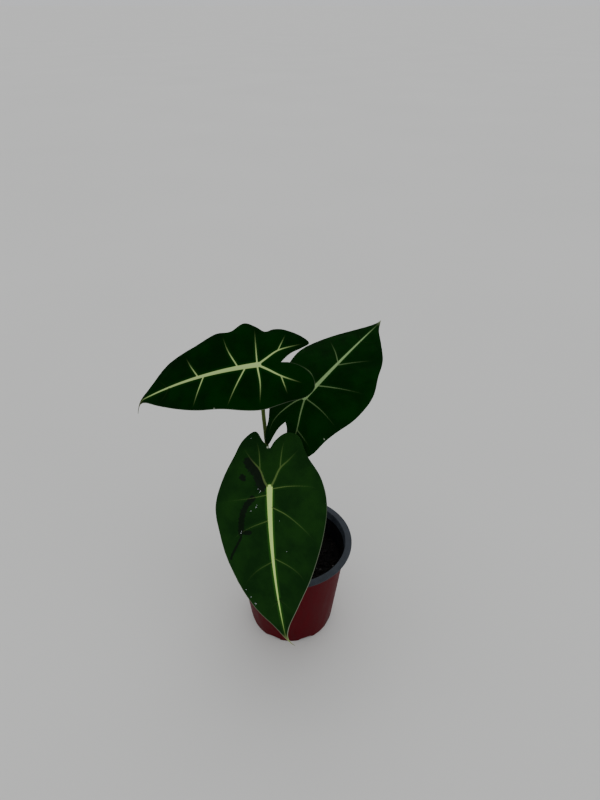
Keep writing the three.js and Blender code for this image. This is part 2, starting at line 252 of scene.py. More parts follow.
def piece_of(mesh: bpy.types.Mesh, name: str, materials: list[bpy.types.Material],
             stands_for: str) -> bpy.types.Object:
    """Makes a mesh a piece of the object.

    Args:
        mesh: The finished mesh, in metres, in the frame.
        name: The piece's name.
        materials: Its materials, in the order of its faces' numbers.
        stands_for: The node that it stands for.

    Returns:
        The piece, riding on the one body.
    """
    piece = bpy.data.objects.new(name, mesh)
    bpy.context.scene.collection.objects.link(piece)
    for material in materials:
        mesh.materials.append(material)
    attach(piece, BODY)
    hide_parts(stands_for)
    mesh.calc_loop_triangles()
    log.info("%s: %d triangles", name, len(mesh.loop_triangles))
    return piece


def written(bm: bmesh.types.BMesh, name: str) -> bpy.types.Mesh:
    """Writes a bmesh to a new mesh with smooth faces and frees it.

    Args:
        bm: The finished bmesh.
        name: The new mesh's name.

    Returns:
        The mesh.
    """
    mesh = bpy.data.meshes.new(name)
    bm.to_mesh(mesh)
    bm.free()
    mesh.shade_smooth()
    return mesh


# Finishes


@dataclass(frozen=True)
class Polypropylene:
    """Injection-moulded polypropylene: a satin skin with faint flow marks and a slight orange peel."""

    name: str
    colour: str
    worn_colour: str
    roughness: float = 0.46
    gloss: float = 0.04
    flow_mark_mm: float = 9.0
    peel_mm: float = 0.9

    def material(self) -> bpy.types.Material:
        """Builds the material.

        Flow marks run up the wall, because the melt ran from the foot to the lip. The peel is what
        breaks the highlight of moulded plastic.

        Returns:
            The material.
        """
        material, tree, shader = blank_material(self.name)
        place = add_node(tree, "ShaderNodeTexCoord").outputs["Object"]
        stretched = add_node(tree, "ShaderNodeMapping", {"Vector": place, "Scale": (1, 1, 0.16)})
        flow = add_node(tree, "ShaderNodeTexNoise", {
            "Vector": stretched.outputs["Vector"],
            "Scale": 1 / (self.flow_mark_mm * MM),
            "Detail": 5.0,
            "Roughness": 0.6,
        })
        marks = add_node(tree, "ShaderNodeMapRange", {
            "Value": flow.outputs["Fac"], "From Min": 0.38, "From Max": 0.72,
        })
        tone = add_node(tree, "ShaderNodeMix", {
            "Factor": marks.outputs["Result"],
            6: linear(self.colour),
            7: linear(self.worn_colour),
        }, data_type="RGBA")
        tree.links.new(tone.outputs[2], shader.inputs["Base Color"])
        gloss = add_node(tree, "ShaderNodeMapRange", {
            "Value": flow.outputs["Fac"],
            "From Min": 0.3,
            "From Max": 0.7,
            "To Min": self.roughness - 0.06,
            "To Max": self.roughness + 0.1,
        })
        tree.links.new(gloss.outputs["Result"], shader.inputs["Roughness"])
        peel = add_node(tree, "ShaderNodeTexNoise", {
            "Vector": place, "Scale": 1 / (self.peel_mm * MM), "Detail": 3.0,
        })
        bump = add_node(tree, "ShaderNodeBump", {
            "Height": peel.outputs["Fac"], "Strength": 0.18, "Distance": 0.06 * MM,
        })
        tree.links.new(bump.outputs["Normal"], shader.inputs["Normal"])
        shader.inputs["IOR"].default_value = 1.49
        shader.inputs["Specular IOR Level"].default_value = self.gloss
        return material


@dataclass(frozen=True)
class PeatMix:
    """Loose potting mix of peat, bark and grit: matt, nearly black when moist, with paler grains."""

    name: str = "loose_moist_peat_mix"
    peat: str = "030202"
    bark: str = "120c09"
    grit: str = "5a5856"
    grain_mm: float = 1.6

    def material(self) -> bpy.types.Material:
        """Builds the material.

        Each crumb carries its own tone, so bark reads brown and grit grey among the black peat, and
        a fine grain roughens every face.

        Returns:
            The material.
        """
        material, tree, shader = blank_material(self.name)
        place = add_node(tree, "ShaderNodeTexCoord").outputs["Object"]
        grain = add_node(tree, "ShaderNodeTexNoise", {
            "Vector": place, "Scale": 1 / (self.grain_mm * MM), "Detail": 8.0, "Roughness": 0.7,
        })
        crumb = add_node(tree, "ShaderNodeAttribute", attribute_name="crumb_tone")
        earth = add_node(tree, "ShaderNodeMix", {
            "Factor": crumb.outputs["Fac"], 6: linear(self.peat), 7: linear(self.bark),
        }, data_type="RGBA")
        is_grit = add_node(tree, "ShaderNodeMapRange", {
            "Value": crumb.outputs["Fac"], "From Min": 0.93, "From Max": 0.95,
        })
        stone = add_node(tree, "ShaderNodeMix", {
            "Factor": is_grit.outputs["Result"], 6: earth.outputs[2], 7: linear(self.grit),
        }, data_type="RGBA")
        speckle = add_node(tree, "ShaderNodeMapRange", {
            "Value": grain.outputs["Fac"], "From Min": 0.35, "From Max": 0.7, "To Min": 0.45, "To Max": 1.5,
        })
        shaded = add_node(tree, "ShaderNodeVectorMath", {
            0: stone.outputs[2], "Scale": speckle.outputs["Result"],
        }, operation="SCALE")
        tree.links.new(shaded.outputs["Vector"], shader.inputs["Base Color"])
        bump = add_node(tree, "ShaderNodeBump", {
            "Height": grain.outputs["Fac"], "Strength": 0.7, "Distance": 0.5 * MM,
        })
        tree.links.new(bump.outputs["Normal"], shader.inputs["Normal"])
        shader.inputs["Roughness"].default_value = 0.95
        shader.inputs["Specular IOR Level"].default_value = 0.2
        return material


@dataclass(frozen=True)
class GrownPetiole:
    """A living stalk: smooth olive skin with fine fibres along it, paler where its sheath opens."""

    name: str = "grown_petiole_skin"
    green: str = "34490f"
    pale: str = "526322"
    sheath: str = "7d7a4a"
    fibre_mm: float = 0.5

    def material(self) -> bpy.types.Material:
        """Builds the material.

        The fibres are noise stretched along the stalk, which gives the faint streaks of its skin,
        and the attribute for the sheath pales its foot.

        Returns:
            The material.
        """
        material, tree, shader = blank_material(self.name)
        flat = add_node(tree, "ShaderNodeUVMap", uv_map="UVMap").outputs["UV"]
        turned = add_node(tree, "ShaderNodeMapping", {
            "Vector": flat, "Scale": (UV_SPAN / self.fibre_mm, UV_SPAN / (self.fibre_mm * 40), 1),
        })
        fibre = add_node(tree, "ShaderNodeTexNoise", {
            "Vector": turned.outputs["Vector"], "Scale": 1.0, "Detail": 4.0,
        })
        streak = add_node(tree, "ShaderNodeMapRange", {
            "Value": fibre.outputs["Fac"], "From Min": 0.35, "From Max": 0.7,
        })
        skin = add_node(tree, "ShaderNodeMix", {
            "Factor": streak.outputs["Result"], 6: linear(self.green), 7: linear(self.pale),
        }, data_type="RGBA")
        open_foot = add_node(tree, "ShaderNodeAttribute", attribute_name="sheath")
        tone = add_node(tree, "ShaderNodeMix", {
            "Factor": open_foot.outputs["Fac"], 6: skin.outputs[2], 7: linear(self.sheath),
        }, data_type="RGBA")
        tree.links.new(tone.outputs[2], shader.inputs["Base Color"])
        bump = add_node(tree, "ShaderNodeBump", {
            "Height": fibre.outputs["Fac"], "Strength": 0.35, "Distance": 0.1 * MM,
        })
        tree.links.new(bump.outputs["Normal"], shader.inputs["Normal"])
        shader.inputs["Roughness"].default_value = 0.46
        shader.inputs["Specular IOR Level"].default_value = 0.15
        return material


@dataclass(frozen=True)
class VelvetBlade:
    """A living blade with a velvety upper face: a dark pile of tiny cones over green, pale crisp ribs."""

    name: str
    deep: str = "001800"
    lit: str = "002300"
    halo: str = "083006"
    rib: str = "a6c078"
    margin: str = "8a9480"
    drip: str = "4a4a2c"
    # The fleck colour makes pale spots that are partly painted glints.
    fleck_and_glint: str = "aeb7a4"
    soaked: str = "031403"
    underside: str = "44603c"
    underside_rib: str = "8fa36c"
    roughness: float = 0.72
    rib_roughness: float = 0.5
    wet_roughness: float = 0.3
    dry_gloss: float = 0.02
    wet_gloss: float = 0.07
    pile_sheen: float = 0.012
    sheen_tint: str = "6f93a0"
    net_mm: float = 3.2
    pile_mm: float = 0.35
    patch_mm: float = 24.0

    def material(self) -> bpy.types.Material:
        """Builds the material.

        The pile traps light, so the face is nearly black-green with a faint bluish sheen, brighter
        only in a halo by the ribs. The ribs have no pile and read as crisp cream lines. Where water
        lies on it the pile is flat, dark and glossy. The pile is drawn coarser than life, to show
        at all.

        Returns:
            The material.
        """
        material, tree, shader = blank_material(self.name)
        kept = {
            name: add_node(tree, "ShaderNodeAttribute", attribute_name=name).outputs["Fac"]
            for name in BLADE_VALUES
        }
        flat = add_node(tree, "ShaderNodeUVMap", uv_map="UVMap").outputs["UV"]
        in_mm = add_node(tree, "ShaderNodeMapping", {
            "Vector": flat, "Scale": (UV_SPAN, UV_SPAN, UV_SPAN),
        }).outputs["Vector"]
        for name, size, detail in (("patches", self.patch_mm, 4.0), ("pile", self.pile_mm, 2.0)):
            kept[name] = add_node(tree, "ShaderNodeTexNoise", {
                "Vector": in_mm, "Scale": 1 / size, "Detail": detail, "Roughness": 0.6,
            }).outputs["Fac"]
        kept["net"] = add_node(tree, "ShaderNodeTexVoronoi", {
            "Vector": in_mm, "Scale": 1 / self.net_mm, "Randomness": 0.9,
        }, feature="DISTANCE_TO_EDGE").outputs["Distance"]
        masks = (
            ("rib_core", "rib_gap", -0.22, 0.16),
            ("glow", "rib_gap", -2.6, 0.1),
            ("back_glow", "rib_gap", -0.9, 0.3),
            ("on_face", "upper", 0.4, 0.6),
            ("patch", "patches", 0.32, 0.68),
            ("fine", "net_rib", 0.1, 1.0),
            ("film", "wet", 0.38, 0.6),
            ("edge", "edge_gap", 0.6, 0.12),
            ("cell", "net", 0.0, 0.22),
        )
        for name, source, low, high in masks:
            kept[name] = add_node(tree, "ShaderNodeMapRange", {
                "Value": kept[source], "From Min": low, "From Max": high,
            }, interpolation_type="SMOOTHSTEP").outputs["Result"]
        products = (
            ("pale_rib", "rib_core", "rib_strength"),
            ("halo", "glow", "rib_strength"),
            ("back_rib", "back_glow", "rib_strength"),
            ("pale_edge", "edge", "margin"),
            ("faint_net", "fine", "fine"),
        )
        for name, first, second in products:
            kept[name] = add_node(tree, "ShaderNodeMath", {
                0: kept[first], 1: kept[second],
            }, operation="MULTIPLY").outputs["Value"]
        face_layers = (
            ("patch", self.lit), ("halo", self.halo), ("film", self.soaked), ("pale_rib", self.rib),
            ("pale_edge", self.margin), ("drip", self.drip), ("fleck_and_glint", self.fleck_and_glint),
        )
        back_layers = (("patch", self.underside), ("back_rib", self.underside_rib))
        face, back = linear(self.deep), linear(self.underside)
        for share, colour in face_layers:
            face = add_node(tree, "ShaderNodeMix", {
                "Factor": kept[share], 6: face, 7: linear(colour),
            }, data_type="RGBA").outputs[2]
        for share, colour in back_layers:
            back = add_node(tree, "ShaderNodeMix", {
                "Factor": kept[share], 6: back, 7: linear(colour),
            }, data_type="RGBA").outputs[2]
        skin = add_node(tree, "ShaderNodeMix", {
            "Factor": kept["on_face"], 6: back, 7: face,
        }, data_type="RGBA").outputs[2]
        tree.links.new(skin, shader.inputs["Base Color"])

        gloss_layers = (
            ("Roughness", self.roughness, self.rib_roughness, self.wet_roughness),
            ("Specular IOR Level", self.dry_gloss, 0.1, self.wet_gloss),
        )
        for socket, dry, ribbed, wet in gloss_layers:
            level = dry
            for share, value in (("pale_rib", ribbed), ("film", wet)):
                level = add_node(tree, "ShaderNodeMix", {0: kept[share], 2: level, 3: value}).outputs[0]
            tree.links.new(level, shader.inputs[socket])

        normal = None
        bumps = (("cell", 0.25, 0.12), ("faint_net", 0.25, 0.1), ("pile", 0.3, 0.08))
        for source, strength, depth_mm in bumps:
            inputs = {"Height": kept[source], "Strength": strength, "Distance": depth_mm * MM}
            if normal is not None:
                inputs["Normal"] = normal
            normal = add_node(tree, "ShaderNodeBump", inputs).outputs["Normal"]
        tree.links.new(normal, shader.inputs["Normal"])
        shader.inputs["Sheen Weight"].default_value = self.pile_sheen
        shader.inputs["Sheen Roughness"].default_value = 0.45
        shader.inputs["Sheen Tint"].default_value = linear(self.sheen_tint)
        return material


@dataclass(frozen=True)
class ClearWater:
    """Still drops of clear water: they lens what is under them and hold one sharp glint each, and the white
    share of their colour is a painted highlight.
    """

    name: str = "water_drops_with_painted_white_glint"

    def material(self) -> bpy.types.Material:
        """Builds the material.

        Returns:
            The material.
        """
        material, _, shader = blank_material(self.name)
        # The white base colour, seen in the share that isn't transmitted, is a painted highlight that makes
        # the drops read as bright spots.
        shader.inputs["Base Color"].default_value = linear("f4fbff")
        shader.inputs["Transmission Weight"].default_value = 0.8
        shader.inputs["Roughness"].default_value = 0.03
        shader.inputs["IOR"].default_value = 1.333
        return material


@dataclass(frozen=True)
class PaintedFloor:
    """A plain pale floor with a matt coat, which only takes the soft shadows."""

    name: str = "matt_pale_floor"
    colour: str = "d9d9d6"
    mottle: str = "d1d1ce"

    def material(self) -> bpy.types.Material:
        """Builds the material.

        Returns:
            The material.
        """
        material, tree, shader = blank_material(self.name)
        place = add_node(tree, "ShaderNodeTexCoord").outputs["Object"]
        cloud = add_node(tree, "ShaderNodeTexNoise", {"Vector": place, "Scale": 1.5, "Detail": 3.0})
        tone = add_node(tree, "ShaderNodeMix", {
            "Factor": cloud.outputs["Fac"], 6: linear(self.colour), 7: linear(self.mottle),
        }, data_type="RGBA")
        tree.links.new(tone.outputs[2], shader.inputs["Base Color"])
        shader.inputs["Roughness"].default_value = 0.85
        return material


# The pot


@dataclass(frozen=True)
class Pot:
    """The moulded two-colour pot: a tapered thin wall, a flat turned-out lip and a notched foot."""

    height: float = 104.0
    rim_radius: float = 60.0
    lip_inner_radius: float = 53.6
    lip_thickness: float = 2.3
    lip_round: float = 0.6
    wall: float = 1.3
    foot_radius: float = 42.7
    foot_round: float = 1.2
    floor_thickness: float = 1.8
    sides: int = 192
    notches: int = 8
    notch_width: float = 15.0
    notch_height: float = 3.6
    notch_depth: float = 6.0
    first_notch: float = -70.0
    slate_depth: float = 9.0
    crisp_angle: float = 38.0
    wall_heights: tuple[float, ...] = (8.0, 20.0, 34.0, 48.0, 62.0, 76.0, 90.0)
    inside_heights: tuple[float, ...] = (96.0, 86.0, 78.0, 50.0, 20.0)
    outside: Polypropylene = Polypropylene("moulded_dark_red_polypropylene", "48050d", "520813")
    lip: Polypropylene = Polypropylene("moulded_slate_polypropylene", "2b3037", "363c43", 0.5, 0.15)
    # The inside below the slate band is a near-black copy of the slate plastic: painted shade for the
    # shadow inside the pot.
    inside: Polypropylene = Polypropylene(
        "moulded_slate_polypropylene_with_painted_inner_shade", "0b0c0e", "15171a", 0.7,
    )

    def inner_radius(self, height: float) -> float:
        """Returns the inside wall's radius at a height."""
        share = (height - self.floor_thickness) / (self.height - self.floor_thickness)
        return self.foot_radius - self.wall + share * (self.lip_inner_radius - self.foot_radius + self.wall)

    def arc(self, centre: Pair, radius: float, start: float, end: float, steps: int) -> list[Pair]:
        """Lists the points of a rounded edge.

        Args:
            centre: The arc's centre, as a radius and a height.
            radius: The arc's radius.
            start: Its first angle in degrees, from outwards towards up.
            end: Its last angle in degrees.
            steps: How many steps it takes.

        Returns:
            The arc's points, as radii and heights.
        """
        angles = [math.radians(start + (end - start) * i / steps) for i in range(steps + 1)]
        return [(centre[0] + radius * math.cos(a), centre[1] + radius * math.sin(a)) for a in angles]

    def profile(self) -> list[Pair]:
        """Lists the wall's outline: from the foot's middle up outside, over the lip and down inside.

        Returns:
            The outline's points, as radii and heights.
        """
        under_lip = self.height - self.lip_thickness
        outer = self.rim_radius - self.lip_round
        inner = self.lip_inner_radius + self.lip_round
        body = self.inner_radius(under_lip) + self.wall
        foot = (self.foot_radius - self.foot_round, self.foot_round)
        points = [(0.0, 0.0), (self.foot_radius * 0.5, 0.0)]
        points += self.arc(foot, self.foot_round, -90, 0, 4)
        points += [
            (self.foot_radius + (body - self.foot_radius) * (height / under_lip), height)
            for height in self.wall_heights
        ]
        points += [(body - 0.1, under_lip - 1.2), (body + 0.5, under_lip)]
        points += self.arc((outer, under_lip + self.lip_round), self.lip_round, -90, 0, 4)
        points += self.arc((outer, self.height - self.lip_round), self.lip_round, 0, 90, 4)
        points += self.arc((inner, self.height - self.lip_round), self.lip_round, 90, 180, 4)
        points += [(self.inner_radius(height), height) for height in self.inside_heights]
        points += [(self.foot_radius - self.wall, self.floor_thickness), (0.0, self.floor_thickness)]
        return points

    def shell(self) -> bpy.types.Mesh:
        """Spins the profile into the closed shell, with the slate plastic from the lip inwards and its
        near-black painted-shade copy lower inside.

        Returns:
            The shell's mesh, in millimetres.
        """
        bm = bmesh.new()
        profile = self.profile()
        chain = [bm.verts.new((radius, 0, height)) for radius, height in profile]
        edges = [bm.edges.new(pair) for pair in zip(chain, chain[1:])]
        bmesh.ops.spin(bm, geom=chain + edges, cent=(0, 0, 0), axis=(0, 0, 1), dvec=(0, 0, 0),
                       angle=2 * math.pi, steps=self.sides, use_merge=True, use_duplicate=False)
        bmesh.ops.remove_doubles(bm, verts=bm.verts[:], dist=1e-4)
        bmesh.ops.recalc_face_normals(bm, faces=bm.faces[:])
        lip_start = self.height - self.lip_thickness - 0.4
        for face in bm.faces:
            middle = face.calc_center_median()
            radius = math.hypot(middle.x, middle.y)
            outside = radius > self.inner_radius(middle.z) + self.wall * 0.5
            below = middle.z < self.floor_thickness * 0.5
            if (outside or below) and middle.z < lip_start:
                face.material_index = 0
            else:
                # Below the slate band the inside takes the near-black copy, which is painted shade.
                face.material_index = 1 if middle.z > self.height - self.slate_depth else 2
        return written(bm, "pot_shell")

    def notch_cutters(self) -> bpy.types.Mesh:
        """Makes the arched bars that cut the drain notches, one for each.

        Returns:
            The cutters' mesh, in millimetres.
        """
        half = self.notch_width / 2
        arch = [(half * math.cos(a), self.notch_height * math.sin(a) ** 0.8)
                for a in (math.pi * i / 16 for i in range(17))]
        bm = bmesh.new()
        for index in range(self.notches):
            corners = [bm.verts.new((self.foot_radius - self.notch_depth, y, z)) for y, z in arch]
            corners += [bm.verts.new((self.foot_radius - self.notch_depth, y, -1.0)) for y in (-half, half)]
            face = bm.faces.new(corners)
            grown = bmesh.ops.extrude_face_region(bm, geom=[face])["geom"]
            moved = [g for g in grown if isinstance(g, bmesh.types.BMVert)]
            bmesh.ops.translate(bm, verts=moved, vec=(self.notch_depth + 4, 0, 0))
            turn = Matrix.Rotation(math.radians(self.first_notch + index * 360 / self.notches), 4, "Z")
            bmesh.ops.transform(bm, matrix=turn, verts=corners + moved)
        bmesh.ops.recalc_face_normals(bm, faces=bm.faces[:])
        return written(bm, "notch_cutters")

    def build(self) -> bpy.types.Object:
        """Cuts the notches out of the shell and dresses the pot.

        Returns:
            The pot's piece.
        """
        finishes = [finish.material() for finish in (self.outside, self.lip, self.inside)]
        shell = bpy.data.objects.new("pot_shell", self.shell())
        cutters = bpy.data.objects.new("notch_cutters", self.notch_cutters())
        for part in (shell, cutters):
            bpy.context.scene.collection.objects.link(part)
        cut = shell.modifiers.new("notches", "BOOLEAN")
        cut.operation = "DIFFERENCE"
        cut.solver = "EXACT"
        cut.object = cutters
        for part in (shell, cutters):
            for finish in finishes:
                part.data.materials.append(finish)
        mesh = bpy.data.meshes.new_from_object(shell.evaluated_get(bpy.context.evaluated_depsgraph_get()))
        mesh.name = "moulded_pot"
        for part in (shell, cutters):
            bpy.data.objects.remove(part)
        mesh.set_sharp_from_angle(angle=math.radians(self.crisp_angle))
        place_points(mesh, coordinates(mesh))
        return piece_of(mesh, "moulded_pot", [], "pot")


# The soil


@dataclass(frozen=True)
class Soil:
    """The potting mix: a closed plug of it with a rough top, and loose crumbs, bark and grit on it."""

    pot: Pot
    stems: tuple[Pair, ...]
    top: float = 77.0
    roughness: float = 1.6
    mound_length: float = 28.0
    clod_length: float = 9.5
    mound_share: float = 0.6
    ripples: tuple[Pair, ...] = ((3.1, 0.5), (1.4, 0.22))
    stem_mound: float = 0.9
    stem_mound_spread: float = 60.0
    gap: float = 0.45
    edge_drop: float = 2.5
    sides: int = 200
    rings: int = 64
    crumbs: int = 620
    crumb_sizes: tuple[float, ...] = (0.6, 0.8, 1.0, 1.3, 1.9, 2.6)
    stem_clearance: float = 4.6
    wall_clearance: float = 3.0
    crisp_angle: float = 50.0
    finish: PeatMix = PeatMix()

    def height_at(self, x: np.ndarray, y: np.ndarray) -> np.ndarray:
        """Works out the mix's rough top, with a low mound round each stem.

        Args:
            x: Places to the viewer's right.
            y: Places away from the viewer.

        Returns:
            The top's height at each place.
        """
        turn = 2 * math.pi
        mounds = np.sin(turn * x / self.mound_length + 1) * np.cos(turn * y / self.mound_length)
        aslant, across = x + y / 2, y - x / 2
        clods = np.sin(turn * aslant / self.clod_length) * np.cos(turn * across / self.clod_length)
        height = self.top + self.roughness * (self.mound_share * mounds + (1 - self.mound_share) * clods)
        for length, rise in self.ripples:
            wobble = np.sin(turn * y / length * 0.7)
            ripple = np.sin(turn * x / length + 2 * wobble) * np.sin(turn * y / length + wobble)
            height = height + rise * ripple
        for stem_x, stem_y in self.stems:
            from_stem = (x - stem_x) ** 2 + (y - stem_y) ** 2
            height = height + self.stem_mound * np.exp(-from_stem / self.stem_mound_spread)
        return height

    def plug(self) -> bmesh.types.BMesh:
        """Spins the plug of mix and roughens its top.

        Returns:
            The plug, in millimetres.
        """
        bottom = self.pot.floor_thickness + self.gap
        edge_height = self.top - self.edge_drop
        outer = self.pot.inner_radius(edge_height) - self.gap
        profile = [(outer * ring / self.rings, self.top) for ring in range(self.rings + 1)]
        profile += [(outer, edge_height), (self.pot.inner_radius(40.0) - self.gap, 40.0)]
        profile += [(self.pot.inner_radius(bottom) - self.gap, bottom), (0.0, bottom)]
        bm = bmesh.new()
        chain = [bm.verts.new((radius, 0, height)) for radius, height in profile]
        edges = [bm.edges.new(pair) for pair in zip(chain, chain[1:])]
        bmesh.ops.spin(bm, geom=chain + edges, cent=(0, 0, 0), axis=(0, 0, 1), dvec=(0, 0, 0),
                       angle=2 * math.pi, steps=self.sides, use_merge=True, use_duplicate=False)
        bmesh.ops.remove_doubles(bm, verts=bm.verts[:], dist=1e-3)
        bmesh.ops.recalc_face_normals(bm, faces=bm.faces[:])
        for vert in bm.verts:
            if vert.co.z > self.top - 1:
                vert.co.z = float(self.height_at(np.array(vert.co.x), np.array(vert.co.y)))
        return bm

    def crumb(self, draw: random.Random, size: float) -> bmesh.types.BMesh:
        """Makes one loose crumb at the origin, lumpy, stretched and leaning at random.

        Args:
            draw: The seeded draw.
            size: The crumb's radius before it is stretched.

        Returns:
            The crumb.
        """
        crumb = bmesh.new()
        bmesh.ops.create_icosphere(crumb, subdivisions=1, radius=size)
        for vert in crumb.verts:
            vert.co *= draw.uniform(0.72, 1.18)
        stretch = Vector((draw.uniform(0.8, 1.5), draw.uniform(0.6, 1.1), draw.uniform(0.35, 0.8)))
        bmesh.ops.scale(crumb, verts=crumb.verts[:], vec=stretch)
        lean = Matrix.Rotation(draw.uniform(-0.6, 0.6), 3, "X")
        turn = Matrix.Rotation(draw.uniform(0, 2 * math.pi), 3, "Z")
        bmesh.ops.rotate(crumb, verts=crumb.verts[:], cent=(0, 0, 0), matrix=turn @ lean)
        return crumb

    def build(self) -> bpy.types.Object:
        """Strews the crumbs on the plug and dresses the soil.

        Returns:
            The soil's piece.
        """
        draw = random.Random(SEED)
        bm = self.plug()
        tone = bm.verts.layers.float.new("crumb_tone")
        for vert in bm.verts:
            vert[tone] = draw.uniform(0.0, 0.35)
        reach = self.pot.inner_radius(self.top) - self.wall_clearance
        loose = bpy.data.meshes.new("loose_crumb")
        for _ in range(self.crumbs):
            radius = reach * math.sqrt(draw.random())
            angle = draw.uniform(0, 2 * math.pi)
            x, y = radius * math.cos(angle), radius * math.sin(angle)
            size = draw.choice(self.crumb_sizes)
            clearance = self.stem_clearance + size
            if any(math.hypot(x - sx, y - sy) < clearance for sx, sy in self.stems):
                continue
            crumb = self.crumb(draw, size)
            sunk = float(self.height_at(np.array(x), np.array(y))) + size * 0.2
            bmesh.ops.translate(crumb, verts=crumb.verts[:], vec=(x, y, sunk))
            shade = draw.choice((0.1, 0.25, 0.4, 0.6, 0.85, 1.0 if size < 1.2 else 0.7))
            crumb_tone = crumb.verts.layers.float.new("crumb_tone")
            for vert in crumb.verts:
                vert[crumb_tone] = shade
            crumb.to_mesh(loose)
            crumb.free()
            bm.from_mesh(loose)
        bpy.data.meshes.remove(loose)
        mesh = written(bm, "potting_soil")
        mesh.set_sharp_from_angle(angle=math.radians(self.crisp_angle))
        place_points(mesh, coordinates(mesh))
        return piece_of(mesh, "potting_soil", [self.finish.material()], "soil")


# The leaves


@dataclass(frozen=True)
class Vein:
    """A rib's path on the flat blade, from the midrib outwards, and how wide and pale it is."""

    path: tuple[Pair, ...]
    width: float = 1.05
    end_width: float = 0.4
    paleness: float = 1.0
    fade_from: float = 0.15
    taper: float = 1.0
    top_rise: float = 0.35
    back_rise: float = 0.7

    def line(self) -> np.ndarray:
        """Returns the rib's smooth path."""
        return evenly(curve_through(self.path, 8), 16)


@dataclass(frozen=True)
class Half:
    """One side of a blade: its outline from the notch to the tip, its ribs and its edge's waves.

    A place along the outline is counted in its points: lobe_end is the end of its basal lobe, and
    shoulder is where the blade narrows to its drip tip. A wave is a place along the midrib, a
    length and a height. The margin's paleness is given at the lobes, by the node and to the tip.
    """

    outline: tuple[Pair, ...]
    lobe_end: float
    shoulder: float
    waves: tuple[Triple, ...]
    laterals: tuple[Vein, ...]
    basal: tuple[Vein, ...]
    pale_margin: Triple = (0.1, 0.1, 0.1)


@dataclass(frozen=True)
class Bend:
    """How a flat blade is bent: its droop to both ends, its fold, cup, sway and twist, and its drip tip."""

    tip: float
    lobes: float
    fold: float
    cup: float
    sway: float
    twist: float
    drip_length: float
    drip_curl: float
    drip_hook: float


